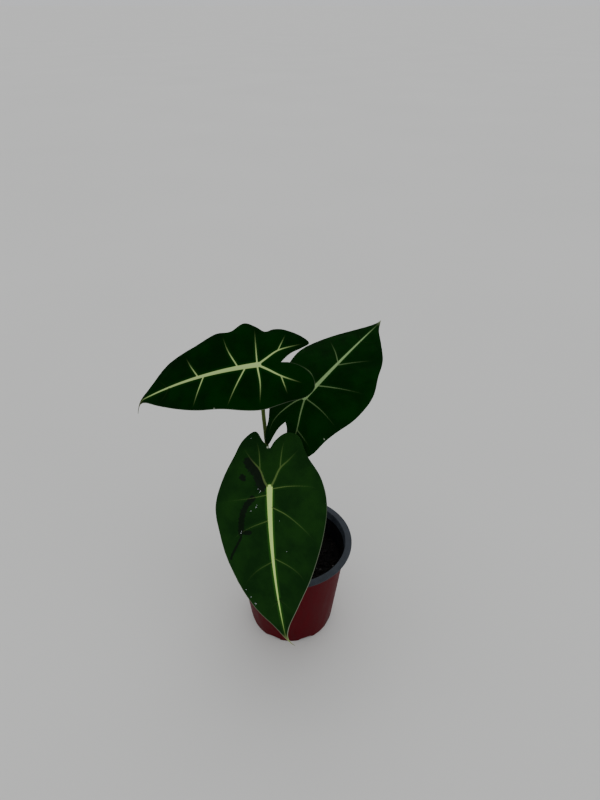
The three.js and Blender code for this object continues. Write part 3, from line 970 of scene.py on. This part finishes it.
@dataclass(frozen=True)
class Petiole:
    """A leaf's stalk: its route up from the soil, its radius, and the grooved sheath at its foot."""

    foot: Triple
    lean: Triple
    bow: Triple
    radius: float
    foot_depth: float = 25.7
    sheath_radius: float = 4.2
    sheath_length: float = 55.0
    groove_turn: float = 0.6
    groove_depth: float = 0.3
    top_swell: float = 0.28
    top_swell_length: float = 9.0
    sides: int = 28
    rings: int = 150
    finish: GrownPetiole = GrownPetiole()

    def route(self, soil_top: float, below: np.ndarray, end: np.ndarray) -> np.ndarray:
        """Runs the stalk's middle line from its foot in the soil to the blade.

        Args:
            soil_top: The height of the soil that it stands in.
            below: A place straight under the blade's node, which the line comes up through.
            end: Where the stalk meets the blade.

        Returns:
            One row per ring.
        """
        foot_x, foot_y, _ = self.foot
        straight = [(foot_x, foot_y, soil_top + rise) for rise in (-self.foot_depth, -6.0, 6.0)]
        return evenly(curve_through([*straight, self.lean, self.bow, tuple(below), tuple(end)], 40),
                      self.rings + 1)

    def radius_at(self, along: float, length: float, angle: float) -> tuple[float, float]:
        """Works out the stalk's radius, which widens to the sheath and swells under the blade.

        Args:
            along: The distance from the foot along the stalk.
            length: The stalk's whole length.
            angle: The turn round the stalk.

        Returns:
            The radius, and how open the sheath is there, from 0 to 1.
        """
        share = (self.foot_depth + self.sheath_length - along) / self.sheath_length
        share = min(max(share, 0.0), 1.0)
        sheath = share * share * (3 - 2 * share)
        near_top = max(0.0, 1 - (length - along) / self.top_swell_length)
        radius = self.radius + (self.sheath_radius - self.radius) * sheath
        radius *= 1 + self.top_swell * near_top * near_top
        groove = max(0.0, math.cos(angle - self.groove_turn)) ** 6
        radius *= 1 - (0.05 + self.groove_depth * math.sin(math.pi * sheath)) * groove
        radius *= 1 + 0.018 * math.sin(5 * angle) + 0.012 * math.sin(along * 0.31)
        return radius, sheath * (0.35 + 0.65 * groove)

    def build(self, leaf: str, soil_top: float, below: np.ndarray, end: np.ndarray) -> bpy.types.Object:
        """Draws the rings along the route and dresses the stalk.

        Args:
            leaf: The name of the leaf that it carries.
            soil_top: The height of the soil that it stands in.
            below: A place straight under the blade's node.
            end: Where the stalk meets the blade.

        Returns:
            The petiole's piece.
        """
        line = self.route(soil_top, below, end)
        tangents = np.gradient(line, axis=0)
        tangents /= np.linalg.norm(tangents, axis=1)[:, None]
        sideways = np.cross((0, 1, 0), tangents)
        sideways /= np.linalg.norm(sideways, axis=1)[:, None]
        other = np.cross(tangents, sideways)
        length = float(np.linalg.norm(np.diff(line, axis=0), axis=1).sum())

        bm = bmesh.new()
        bmesh.ops.create_grid(bm, x_segments=self.sides, y_segments=self.rings, size=1.0)
        sheath_layer, uv_x, uv_y = (
            bm.verts.layers.float.new(name) for name in ("sheath", "around", "along")
        )
        for vert in bm.verts:
            side = round((vert.co.x + 1) / 2 * self.sides)
            ring = round((vert.co.y + 1) / 2 * self.rings)
            angle = 2 * math.pi * side / self.sides
            along = length * ring / self.rings
            radius, vert[sheath_layer] = self.radius_at(along, length, angle)
            outwards = math.cos(angle) * sideways[ring] + math.sin(angle) * other[ring]
            vert.co = line[ring] + radius * outwards
            vert[uv_x] = angle * self.radius
            vert[uv_y] = along
        bmesh.ops.remove_doubles(bm, verts=bm.verts[:], dist=1e-4)
        ends = [edge for edge in bm.edges if edge.is_boundary]
        bmesh.ops.holes_fill(bm, edges=ends, sides=self.sides + 2)
        bmesh.ops.recalc_face_normals(bm, faces=bm.faces[:])
        mesh = written(bm, f"{leaf}_petiole")
        uv = np.zeros((len(mesh.vertices), 2))
        for column, name in enumerate(("around", "along")):
            values = np.zeros(len(mesh.vertices), np.float32)
            mesh.attributes[name].data.foreach_get("value", values)
            uv[:, column] = values / UV_SPAN
        keep_uv(mesh, uv)
        for name in ("around", "along"):
            mesh.attributes.remove(mesh.attributes[name])
        place_points(mesh, coordinates(mesh))
        return piece_of(mesh, f"{leaf}_grown_petiole", [self.finish.material()],
                        f"{leaf}_petiole")


@dataclass(frozen=True)
class WetRun:
    """A run on the flat blade where water has soaked the pile: its path and half its width."""

    path: tuple[Pair, ...]
    radius: float


@dataclass(frozen=True)
class Spot:
    """A round place on the flat blade, for a standing drop or a pale fleck, which is partly a painted
    glint: its middle and radius.
    """

    place: Pair
    radius: float


@dataclass
class Ribs:
    """What the main ribs do at each place of a blade.

    The gap is how far the place lies inside the nearest rib's edge, and negative outside it. The
    rises lift the upper face and the back.
    """

    gap: np.ndarray
    strength: np.ndarray
    distance: np.ndarray
    top_rise: np.ndarray
    back_rise: np.ndarray


@dataclass(frozen=True)
class Leaf:
    """A leaf: a bent blade with its ribs, and the petiole that carries it at the blade's node."""

    name: str
    node: Triple
    tipward: Triple
    facing: Triple
    bend: Bend
    midrib: Vein
    halves: tuple[Half, Half]
    petiole: Petiole
    finish: VelvetBlade
    wet: tuple[WetRun, ...] = ()
    drops: tuple[Spot, ...] = ()
    flecks_and_glints: tuple[Spot, ...] = ()
    thickness: float = 0.8
    edge_thickness: float = 0.36
    edge_thins_over: float = 2.0
    edge_rib_inset: float = 2.6
    net_rise: float = 0.05
    net_back_rise: float = 0.14
    petiole_seat: float = 0.9
    petiole_rise: float = 7.0
    crease_softness: float = 5.0
    puff: float = 0.9
    along_cells: int = 236
    across_cells: int = 66
    fine_ribs: int = 3
    smoothing_rounds: int = 80
    outline_steps: int = 24

    @property
    def reach(self) -> float:
        """The distance from the node to the tip."""
        return self.halves[0].outline[-1][0]

    def axes(self) -> tuple[np.ndarray, np.ndarray, np.ndarray]:
        """Returns the blade's own directions: to its tip, across to its first side, and out of its face.

        Returns:
            Three directions of unit length.
        """
        along = np.array(self.tipward) / np.linalg.norm(self.tipward)
        out = np.array(self.facing) - along * float(np.dot(self.facing, along))
        out = out / np.linalg.norm(out)
        return along, np.cross(out, along), out

    def drip_share(self, u: np.ndarray) -> np.ndarray:
        """Returns how far places lie along the drip tip, from 0 at its start to 1 at its end."""
        return np.maximum(0, u - self.reach + self.bend.drip_length) / self.bend.drip_length

    def bent(self, u: np.ndarray, v: np.ndarray) -> np.ndarray:
        """Bends places of the flat blade.

        Args:
            u: Distances from the node towards the tip.
            v: Distances from the midrib, positive on the first side.

        Returns:
            One row per place: a point on the middle of the blade's thickness.
        """
        along, across, out = self.axes()
        bend, reach = self.bend, self.reach
        lift = -(np.where(u > 0, bend.tip, bend.lobes) * u * u + bend.cup * v * v) / (2 * reach)
        lift -= bend.fold * (np.hypot(v, self.crease_softness) - self.crease_softness)
        lift += bend.twist * u * v / reach
        drip = self.drip_share(u) ** 3
        lift -= bend.drip_curl * drip
        for sign, half in zip((1, -1), self.halves):
            for place, length, height in half.waves:
                edge = v / (reach * 0.3)
                wave = height * edge * edge * np.exp(-(((u - place) / length) ** 2))
                lift += np.where(v * sign > 0, wave, 0)
        side = v + bend.sway * u * np.abs(u) / (2 * reach) + bend.drip_hook * drip
        return np.array(self.node) + np.outer(u, along) + np.outer(side, across) + np.outer(lift, out)

    def normals(self, u: np.ndarray, v: np.ndarray) -> np.ndarray:
        """Returns the directions straight out of the bent blade's upper face.

        Args:
            u: Distances from the node towards the tip.
            v: Distances from the midrib.

        Returns:
            One row of unit length per place.
        """
        step = 0.5
        forward = self.bent(u + step, v) - self.bent(u - step, v)
        sideways = self.bent(u, v + step) - self.bent(u, v - step)
        out = np.cross(forward, sideways)
        return out / np.linalg.norm(out, axis=1)[:, None]

    def flat_half(self, half: Half) -> np.ndarray:
        """Spreads a grid over half of the flat blade.

        Args:
            half: The side to cover.

        Returns:
            Places as (row from the midrib, column from the notch, 2), with the second value positive.
        """
        steps = self.outline_steps
        outline = curve_through(half.outline, steps)
        lobe, shoulder = round(half.lobe_end * steps), round(half.shoulder * steps)
        far = evenly(outline[lobe : shoulder + 1], self.along_cells + 1)
        notch_edge = evenly(outline[: lobe + 1], self.across_cells + 1)
        tip_edge = evenly(outline[shoulder:][::-1], self.across_cells + 1)
        near = np.stack([np.linspace(outline[0, 0], outline[-1, 0], self.along_cells + 1),
                         np.zeros(self.along_cells + 1)], axis=1)
        s = np.linspace(0, 1, self.along_cells + 1)[None, :, None]
        t = np.linspace(0, 1, self.across_cells + 1)[:, None, None]
        grid = (1 - t) * near[None] + t * far[None] + (1 - s) * notch_edge[:, None] + s * tip_edge[:, None]
        grid = grid - (1 - s) * (1 - t) * near[0] - s * (1 - t) * near[-1]
        grid = grid - (1 - s) * t * far[0] - s * t * far[-1]
        for _ in range(self.smoothing_rounds):
            inner = grid[:-2, 1:-1] + grid[2:, 1:-1] + grid[1:-1, :-2] + grid[1:-1, 2:]
            grid[1:-1, 1:-1] = inner / 4
        return grid

    def flat_blade(self) -> bmesh.types.BMesh:
        """Makes the flat blade, one unit thick, from a grid that is drawn out to its outline.

        Returns:
            The flat blade, in millimetres.
        """
        first, second = (self.flat_half(half) for half in self.halves)
        bm = bmesh.new()
        rows, columns = 2 * self.across_cells, self.along_cells
        bmesh.ops.create_grid(bm, x_segments=columns, y_segments=rows, size=1.0)
        for vert in bm.verts:
            column = round((vert.co.x + 1) / 2 * columns)
            row = round((vert.co.y + 1) / 2 * rows) - self.across_cells
            u, v = (first if row >= 0 else second)[abs(row), column]
            vert.co = (u, v if row >= 0 else -v, 0)
        bmesh.ops.solidify(bm, geom=bm.verts[:] + bm.edges[:] + bm.faces[:], thickness=1.0)
        bmesh.ops.recalc_face_normals(bm, faces=bm.faces[:])
        return bm

    def fine_lines(self) -> list[np.ndarray]:
        """Lists the paths of the finer ribs that run between neighbouring laterals.

        Returns:
            Each path's points, on the flat blade.
        """
        lines = []
        for half in self.halves:
            paths = [vein.line() for vein in half.laterals]
            for first, second in zip(paths, paths[1:]):
                for index in range(self.fine_ribs):
                    share = (index + 1) / (self.fine_ribs + 1)
                    lines.append(first + (second - first) * share)
        return lines

    def main_veins(self) -> list[Vein]:
        """Lists the midrib and the main ribs of both sides."""
        return [self.midrib, *(vein for half in self.halves for vein in (*half.laterals, *half.basal))]

    def edge_gaps(self, places: np.ndarray) -> np.ndarray:
        """Returns how far places of the flat blade lie from its edge.

        Args:
            places: Places of the flat blade.

        Returns:
            Each place's distance to the outline, up to a limit.
        """
        return np.minimum(*(
            nearest(places, curve_through([(a, sign * b) for a, b in half.outline], 8), 9.0)[0]
            for sign, half in zip((1, -1), self.halves)
        ))

    def ribs(self, places: np.ndarray) -> Ribs:
        """Works out what the midrib and the main ribs do to the blade.

        Args:
            places: Places of the flat blade.

        Returns:
            The ribs' gap, strength, distance and rise at each place.
        """
        count = len(places)
        ribs = Ribs(np.full(count, -NO_RIB), np.zeros(count), np.full(count, NO_RIB), np.zeros(count),
                    np.zeros(count))
        for vein in self.main_veins():
            distance, share = nearest(places, vein.line())
            width = vein.end_width + (vein.width - vein.end_width) * (1 - share) ** vein.taper
            gap = width / 2 - distance
            strength = vein.paleness * (1 - smooth(vein.fade_from, 1.0, share))
            better = gap > ribs.gap
            ribs.gap[better] = gap[better]
            ribs.strength[better] = strength[better]
            np.minimum(ribs.distance, distance, out=ribs.distance)
            fading = (1 - 0.85 * smooth(0.75, 1.0, share)) * np.clip(width / vein.width, 0.3, 1)
            narrow, broad = 0.62 * width + 0.15, 0.9 * width + 0.3
            for rise, height, half_width in ((ribs.top_rise, vein.top_rise, narrow),
                                             (ribs.back_rise, vein.back_rise, broad)):
                dome = np.clip(1 - (distance / half_width) ** 2, 0, 1) ** 1.5
                np.maximum(rise, height * dome * fading, out=rise)
        return ribs

    def net(self, places: np.ndarray, edge_gap: np.ndarray, from_rib: np.ndarray) -> np.ndarray:
        """Works out how strongly the fine ribs show.

        Args:
            places: Places of the flat blade.
            edge_gap: How far they lie from the edge.
            from_rib: How far they lie from the nearest main rib.

        Returns:
            A share from 0 to 1 at each place.
        """
        net = np.exp(-(((edge_gap - self.edge_rib_inset) / 0.45) ** 2)) * 0.7
        for line in self.fine_lines():
            distance, share = nearest(places, line, 2.0)
            net = np.maximum(net, np.exp(-((distance / 0.42) ** 2)) * (1 - 0.6 * share))
        return net * smooth(0.3, 1.6, from_rib)

    def quilted(self, u: np.ndarray, v: np.ndarray, edge_gap: np.ndarray,
                from_rib: np.ndarray) -> np.ndarray:
        """Works out how far the face swells up between the ribs.

        Args:
            u: Distances from the node towards the tip.
            v: Distances from the midrib.
            edge_gap: How far the places lie from the edge.
            from_rib: How far they lie from the nearest main rib.

        Returns:
            The swelling at each place.
        """
        dimples = np.sin(u * 0.55 + 1.1 * np.sin(v * 0.4)) * np.sin(v * 0.62)
        puff = self.puff * smooth(0.5, 13.0, from_rib) * smooth(0.0, 7.0, edge_gap)
        return puff + 0.12 * dimples * smooth(1.0, 6.0, from_rib)

    def wetness(self, places: np.ndarray) -> np.ndarray:
        """Returns how wet places are: a half at the ragged edge of a run, and 1 on its middle line.

        Args:
            places: Places of the flat blade.

        Returns:
            A number for each place, past 0.5 inside a run.
        """
        u, v = places.T
        wet = np.zeros(len(u))
        ragged = 1 + 0.3 * np.sin(u * 1.7 + 2 * np.sin(v * 1.3)) * np.sin(v * 1.9)
        for run in self.wet:
            distance = nearest(places, np.array(run.path, float))[0]
            wet = np.maximum(wet, 1 - distance / (2 * run.radius * ragged))
        return wet

    def fleck_and_glint_share(self, places: np.ndarray) -> np.ndarray:
        """Returns how pale places are made by the flecks, which are partly painted glints.

        Args:
            places: Places of the flat blade.

        Returns:
            A share from 0 to 1 for each place.
        """
        share = np.zeros(len(places))
        for spot in self.flecks_and_glints:
            distance = np.hypot(*(places - spot.place).T)
            share = np.maximum(share, smooth(1.3 * spot.radius, 0.6 * spot.radius, distance))
        return share

    def margin_paleness(self, u: np.ndarray, v: np.ndarray) -> np.ndarray:
        """Returns how pale the margin next to places is.

        Args:
            u: Distances from the node towards the tip.
            v: Distances from the midrib.

        Returns:
            A share from 0 to 1 for each place.
        """
        paleness = np.zeros(len(u))
        for sign, half in zip((1, -1), self.halves):
            along = np.interp(u, (-30, 10, self.reach * 0.6), half.pale_margin)
            paleness = np.where(v * sign > 0, along, paleness)
        return paleness

    def blade(self) -> bpy.types.Object:
        """Bends the blade, raises its ribs and net on both faces and dresses it.

        Returns:
            The blade's piece.
        """
        mesh = written(self.flat_blade(), f"{self.name}_blade")
        flat = coordinates(mesh)
        upper = flat[:, 2] > flat[:, 2].mean()
        places = flat[:, :2]
        u, v = places.T
        edge_gap = self.edge_gaps(places)
        ribs = self.ribs(places)
        net = self.net(places, edge_gap, ribs.distance)
        puff = self.quilted(u, v, edge_gap, ribs.distance)
        thinning = self.thickness - self.edge_thickness
        half_thickness = (self.edge_thickness + thinning * smooth(0.0, self.edge_thins_over, edge_gap)) / 2
        top = half_thickness + ribs.top_rise + self.net_rise * net + puff
        back = -half_thickness - ribs.back_rise - self.net_back_rise * net + puff
        offset = np.where(upper, top, back)
        points = self.bent(u, v) + self.normals(u, v) * offset[:, None]
        place_points(mesh, points)

        keep_uv(mesh, places / UV_SPAN + 0.5)
        values = (
            ribs.gap, ribs.strength, net, edge_gap, upper, self.wetness(places) * upper,
            self.margin_paleness(u, v), smooth(0.1, 0.95, self.drip_share(u)),
            self.fleck_and_glint_share(places) * upper,
        )
        for name, value in zip(BLADE_VALUES, values):
            keep_values(mesh, name, value.astype(float))
        finishes = [self.finish.material()]
        if self.drops:
            self.add_drops(mesh, places, points, upper)
            finishes.append(ClearWater().material())
        return piece_of(mesh, f"{self.name}_velvet_blade", finishes, f"{self.name}_blade")

    def add_drops(self, mesh: bpy.types.Mesh, places: np.ndarray, points: np.ndarray,
                  upper: np.ndarray) -> None:
        """Sets the standing drops on the blade's face, as low domes of the mesh's second material.

        Args:
            mesh: The finished blade, in metres, which takes the drops in.
            places: Where the blade's points lie on the flat blade.
            points: Where they lie on the finished one, in millimetres.
            upper: Which of them are on the upper face.
        """
        drops = bmesh.new()
        for drop in self.drops:
            gaps = np.hypot(*(places - drop.place).T)
            at = int(np.argmin(np.where(upper, gaps, FAR)))
            out = self.normals(*places[at : at + 1].T)[0]
            middle = points[at]
            turn = Vector(out).to_track_quat("Z", "Y").to_matrix().to_4x4()
            flatten = Matrix.Diagonal((1, 1, DROP_FLATNESS, 1))
            matrix = Matrix.Scale(MM, 4) @ Matrix.Translation(Vector(middle)) @ turn @ flatten
            bmesh.ops.create_icosphere(drops, subdivisions=3, radius=drop.radius, matrix=matrix)
        for face in drops.faces:
            face.material_index = 1
        water = written(drops, "drops")
        joined = bmesh.new()
        joined.from_mesh(mesh)
        joined.from_mesh(water)
        joined.to_mesh(mesh)
        joined.free()
        bpy.data.meshes.remove(water)

    def stalk(self, soil_top: float) -> bpy.types.Object:
        """Stands the petiole in the soil, with its top sunk into the back of the midrib.

        Args:
            soil_top: The height of the soil that it stands in.

        Returns:
            The petiole's piece.
        """
        node = np.zeros(1)
        end = np.array(self.node) - self.normals(node, node)[0] * (self.thickness / 2 + self.petiole_seat)
        below = end - self.axes()[2] * self.petiole_rise
        return self.petiole.build(self.name, soil_top, below, end)


LEFT_LEAF = Leaf(
    name="left_leaf",
    node=(-25, -5.5, 305),
    tipward=(-0.991, -0.037, -0.129),
    facing=(-0.083, -0.585, 0.807),
    bend=Bend(0.77, 0.05, 0.02, 0.4, 0.026, -0.216, 14, 9, 5.5),
    midrib=Vein(((-1, 0), (60, 0), (114, 0)), 4.3, 0.6, 1.0, 0.8, 1.4, 0.6, 1.5),
    halves=(
        Half(
            outline=((-19, 0), (-28, 2), (-37, 8), (-43, 17), (-43, 26), (-36, 32), (-22, 34),
                     (-4, 36.5), (12, 35.5), (31, 31), (51, 27), (70, 20.5), (90, 11), (102, 4),
                     (109, 1.2), (115, 0)),
            lobe_end=4.0,
            shoulder=13.6,
            waves=((40, 14, 1.7), (2, 11, -1.7)),
            laterals=(
                Vein(((0, 1.5), (-1, 16), (1, 33)), 1.2),
                Vein(((10, 1.5), (20, 17), (28, 31))),
                Vein(((45, 1), (51, 12), (57, 24)), 0.95),
                Vein(((77, 0.5), (83, 7), (89, 10.5)), 0.7, 0.35, 0.02),
            ),
            basal=(
                Vein(((-1, 0.5), (-8, 5), (-18, 12), (-35, 21)), 1.7, 0.5, 1.0, 0.35),
                Vein(((-18, 12), (-22, 29)), 0.9, 0.4, 0.75, 0.2),
            ),
            pale_margin=(0.1, 0.45, 0.2),
        ),
        Half(
            outline=((-19, 0), (-27, 6.5), (-37, 10.5), (-43, 14), (-38, 21), (-24, 30), (-15, 32),
                     (-8, 31), (-1, 35.5), (8, 38.5), (20, 34), (31, 34.5), (48, 28.5), (62, 25),
                     (77, 20), (94, 8.6), (103, 3.2), (109, 1), (115, 0)),
            lobe_end=3.0,
            shoulder=16.6,
            waves=((8, 9, 2.8), (-10, 7, -2.2), (44, 14, 1.7)),
            laterals=(
                Vein(((0, -1.5), (0, -18), (0, -34))),
                Vein(((16, -1.5), (23, -17), (27, -32))),
                Vein(((50, -1), (55, -10), (60, -21)), 0.95),
                Vein(((79, -0.5), (85, -7), (91, -10)), 0.7, 0.35, 0.02),
            ),
            basal=(
                Vein(((-1, -0.5), (-8, -5), (-17.5, -10.6), (-38, -14)), 1.6, 0.45, 1.0, 0.35),
                Vein(((-17.5, -10.6), (-25, -25)), 0.9, 0.4, 0.75, 0.2),
            ),
            pale_margin=(0.08, 0.08, 0.0),
        ),
    ),
    petiole=Petiole((-8, 3, 0), (-17, 12, 150), (-22.5, 16, 228), 1.8),
    finish=VelvetBlade("grown_velvet_blade_left"),
    flecks_and_glints=(Spot((38, 29), 0.5),),
)

RIGHT_LEAF = Leaf(
    name="right_leaf",
    node=(13.6, 14.5, 261),
    tipward=(0.666, 0.577, 0.474),
    facing=(-0.19, -0.484, 0.855),
    bend=Bend(0.46, 0.81, 0.21, 0.41, 0.153, 0.143, 11, 0, 1.5),
    midrib=Vein(((-1, 0), (60, 0), (111, 0)), 3.9, 0.5, 0.9, 0.7, 1.4, 0.6, 1.5),
    halves=(
        Half(
            outline=((-27, 0), (-36, 2), (-51, 2), (-50, 6), (-44, 11), (-34, 16), (-24, 24), (-8, 35),
                     (13, 39), (38, 40), (62, 29), (86, 12), (100, 4), (107, 1.5), (112, 0)),
            lobe_end=2.5,
            shoulder=12.6,
            waves=((30, 14, 1.6), (72, 12, -1.6)),
            laterals=(
                Vein(((0, 1.5), (-3, 18), (-2, 34)), 0.9, 0.4, 0.4),
                Vein(((14.6, 1), (22, 15), (22, 38)), 0.9, 0.4, 0.4),
                Vein(((45, 1), (52, 10), (61, 26)), 0.9, 0.4, 0.35),
                Vein(((78, 0.5), (83, 7), (87, 10)), 0.7, 0.35, 0.02),
            ),
            basal=(Vein(((-1, 0.5), (-9, 5), (-31, 10.6), (-44, 7)), 1.2, 0.45, 0.5, 0.35),),
            pale_margin=(0.05, 0.05, 0.04),
        ),
        Half(
            outline=((-27, 0), (-31, 5), (-40, 11), (-46, 21), (-42, 30), (-33, 35), (-18, 37),
                     (0, 40), (22, 43), (42, 41), (60, 33), (76, 26), (90, 14), (101, 3.6), (107, 1.4),
                     (112, 0)),
            lobe_end=3.4,
            shoulder=13.6,
            waves=((55, 12, 1.6), (8, 12, -1.6)),
            laterals=(
                Vein(((-0.5, -1.5), (0, -18), (-3, -37)), 1.0, 0.4, 0.42),
                Vein(((15, -1), (27, -18), (39, -37)), 1.0, 0.4, 0.5),
                Vein(((42, -1), (56, -11), (71, -22)), 0.9, 0.4, 0.35),
                Vein(((76, -0.5), (82, -8), (88, -12)), 0.7, 0.35, 0.02),
            ),
            basal=(
                Vein(((-1, -0.5), (-13, -6), (-26, -12.5), (-40, -17)), 1.3, 0.45, 0.6, 0.35),
                Vein(((-26, -12.5), (-28.4, -23), (-31, -31)), 0.8, 0.4, 0.3, 0.2),
            ),
            pale_margin=(0.05, 0.05, 0.04),
        ),
    ),
    petiole=Petiole((8, 5, 0), (5, 12, 140), (8, 16, 210), 1.8),
    finish=VelvetBlade(
        "grown_velvet_blade_right", deep="011c01", lit="042703", rib="88a76e", drip="6f7a5c",
    ),
    # This fleck is a painted glint: a pale spot where a small highlight shows.
    flecks_and_glints=(Spot((-17, -35), 0.4),),
)

FRONT_LEAF = Leaf(
    name="front_leaf",
    node=(-16.3, -40.7, 205.7),
    tipward=(0.005, -0.685, -0.728),
    facing=(-0.226, -0.708, 0.667),
    bend=Bend(0.74, 0.18, -0.06, 0.3, 0.041, -0.114, 14, 0, 6.5),
    midrib=Vein(((-1, 0), (60, 0), (134, 0)), 5.1, 0.4, 1.0, 0.7, 1.6, 0.6, 1.5),
    halves=(
        Half(
            outline=((-34, 0), (-41, 5), (-47, 15), (-44, 25), (-28, 32), (-8, 44), (15, 48), (43, 43),
                     (71, 32), (99, 16), (119, 4), (128, 1.2), (135, 0)),
            lobe_end=2.4,
            shoulder=10.6,
            waves=((58, 16, 2.1), (8, 14, -1.6)),
            laterals=(
                Vein(((0, 2), (-2, 17), (-1, 37), (2, 43)), 0.8, 0.35, 0.16),
                Vein(((15, 1.5), (22, 15), (35, 30), (46, 39)), 0.8, 0.35, 0.16),
                Vein(((57, 1), (64, 14), (71, 22), (80, 26)), 0.75, 0.35, 0.12),
                Vein(((92, 0.5), (99, 8), (106, 11)), 0.7, 0.35, 0.02),
            ),
            basal=(
                Vein(((-1, 0.8), (-8, 4.5), (-17, 9), (-24, 17), (-34, 27)), 1.8, 0.6, 0.14, 0.3),
                Vein(((-17, 9), (-33, 11), (-43, 14)), 1.0, 0.45, 0.1, 0.3),
            ),
            pale_margin=(0.0, 0.15, 0.6),
        ),
        Half(
            outline=((-34, 0), (-40, 6), (-49, 13), (-42, 24), (-28, 32), (-8, 42), (15, 48), (43, 44),
                     (73, 34), (101, 20.5), (118, 7), (128, 1.4), (135, 0)),
            lobe_end=2.4,
            shoulder=10.6,
            waves=((36, 14, -1.6), (84, 14, 1.6)),
            laterals=(
                Vein(((5, -2), (8, -18), (10, -35), (12, -43)), 0.8, 0.35, 0.16),
                Vein(((26, -1.5), (33, -20), (40, -31), (48, -38)), 0.8, 0.35, 0.16),
                Vein(((60, -1), (68, -15), (78, -25), (84, -27)), 0.75, 0.35, 0.12),
                Vein(((94, -0.5), (101, -8), (108, -11)), 0.7, 0.35, 0.02),
            ),
            basal=(
                Vein(((-1, -0.8), (-5, -4), (-16, -8.5), (-25, -16.5), (-36, -24)), 1.8, 0.6, 0.14, 0.3),
                Vein(((-16, -8.5), (-31, -9.5), (-42, -12)), 1.0, 0.45, 0.1, 0.3),
            ),
            pale_margin=(0.0, 0.0, 0.4),
        ),
    ),
    petiole=Petiole((0, -9, 0), (-4, -14, 125), (-14, -22, 175), 2.1),
    # The front leaf's greens are painted lighter than the other leaves' for the stronger light on it:
    # painted light.
    finish=VelvetBlade(
        "grown_velvet_blade_front_painted_lighter", deep="0e2a0e", lit="153611", halo="285a1c", rib="bfe07e",
        margin="a3ad94", drip="9aa36a",
    ),
    wet=(
        WetRun(((-23, -19), (-18, -16), (-13, -11), (-8, -9), (-2, -7)), 4.0),
        WetRun(((-10, -24), (-9, -23)), 2.5),
        WetRun(((8, -15), (13, -20), (19, -23), (27, -25), (36, -26)), 2.5),
        WetRun(((36, -26), (36, -18)), 1.7),
        WetRun(((40, -26), (45, -29), (50, -32), (55, -35), (58, -36)), 1.0),
    ),
    drops=(
        Spot((2, -8), 0.7), Spot((0, -10), 0.4), Spot((3, -9), 0.5), Spot((15, -12), 0.7),
        Spot((13, -11), 0.45), Spot((18, -16), 0.5), Spot((36, -26), 0.6), Spot((35, -25), 0.4),
        Spot((84, -26), 0.6), Spot((90, -23), 0.55), Spot((96, -20), 0.9),
        Spot((-43, -17), 0.4), Spot((26, 8), 0.35), Spot((51, 13), 0.35),
    ),
    flecks_and_glints=(Spot((-35, -2), 0.9),),
)

LEAVES = (LEFT_LEAF, RIGHT_LEAF, FRONT_LEAF)


# The studio


@dataclass(frozen=True)
class Lamp:
    """A distant soft light: where it shines from, how wide it looks in degrees and its strength."""

    name: str
    place: Triple
    width: float
    strength: float


@dataclass(frozen=True)
class Studio:
    """A pale floor, soft lights and the camera at the photograph's angle."""

    camera_place: Triple = (0.009, -0.419, 0.545)
    camera_tilt: float = 56.54
    lens_mm: float = 27.0
    sensor_mm: float = 36.0
    floor_side: float = 400.0
    sky: str = "f0f1f4"
    sky_strength: float = 0.74
    lamps: tuple[Lamp, ...] = (
        Lamp("key_light", (0.6, -1.3, 1.5), 70.0, 0.5),
        Lamp("fill_light", (-1.2, -0.6, 1.3), 80.0, 0.24),
        Lamp("back_light", (0.2, 1.6, 1.9), 60.0, 0.5),
    )

    def floor(self) -> bpy.types.Object:
        """Lays the floor that the pot stands on.

        Returns:
            The floor.
        """
        bm = bmesh.new()
        bmesh.ops.create_grid(bm, x_segments=8, y_segments=8, size=self.floor_side / 2)
        floor = bpy.data.objects.new("studio_floor", written(bm, "studio_floor"))
        bpy.context.scene.collection.objects.link(floor)
        floor.data.materials.append(PaintedFloor().material())
        return floor

    def light(self) -> None:
        """Hangs the soft lights and sets the even light of the room."""
        for lamp in self.lamps:
            data = bpy.data.lights.new(lamp.name, "SUN")
            data.angle = math.radians(lamp.width)
            data.energy = lamp.strength
            hung = bpy.data.objects.new(lamp.name, data)
            hung.location = lamp.place
            hung.rotation_euler = (-Vector(lamp.place)).to_track_quat("-Z", "Y").to_euler()
            bpy.context.scene.collection.objects.link(hung)
        world = bpy.data.worlds.new("even_room_light")
        world.use_nodes = True
        background = world.node_tree.nodes["Background"]
        background.inputs["Color"].default_value = linear(self.sky)
        background.inputs["Strength"].default_value = self.sky_strength
        bpy.context.scene.world = world

    def camera(self) -> None:
        """Stands the camera where the photograph was taken from."""
        data = bpy.data.cameras.new("photo_camera")
        data.lens = self.lens_mm
        data.sensor_width = self.sensor_mm
        data.sensor_fit = "AUTO"
        data.clip_start = 0.01
        data.clip_end = 1000.0
        camera = bpy.data.objects.new("photo_camera", data)
        camera.location = self.camera_place
        camera.rotation_euler = (math.radians(self.camera_tilt), 0, 0)
        bpy.context.scene.collection.objects.link(camera)
        bpy.context.scene.camera = camera


def main() -> None:
    """Builds the studio, the pot, the soil and the leaves in order."""
    logging.basicConfig(level=logging.INFO, format="%(name)s %(message)s")
    studio = Studio()
    studio.camera()
    studio.light()
    studio.floor()
    pot = Pot()
    pot.build()
    soil = Soil(pot, tuple(leaf.petiole.foot[:2] for leaf in LEAVES))
    soil.build()
    for leaf in LEAVES:
        leaf.stalk(soil.top)
        leaf.blade()


if __name__ == "__main__":
    main()
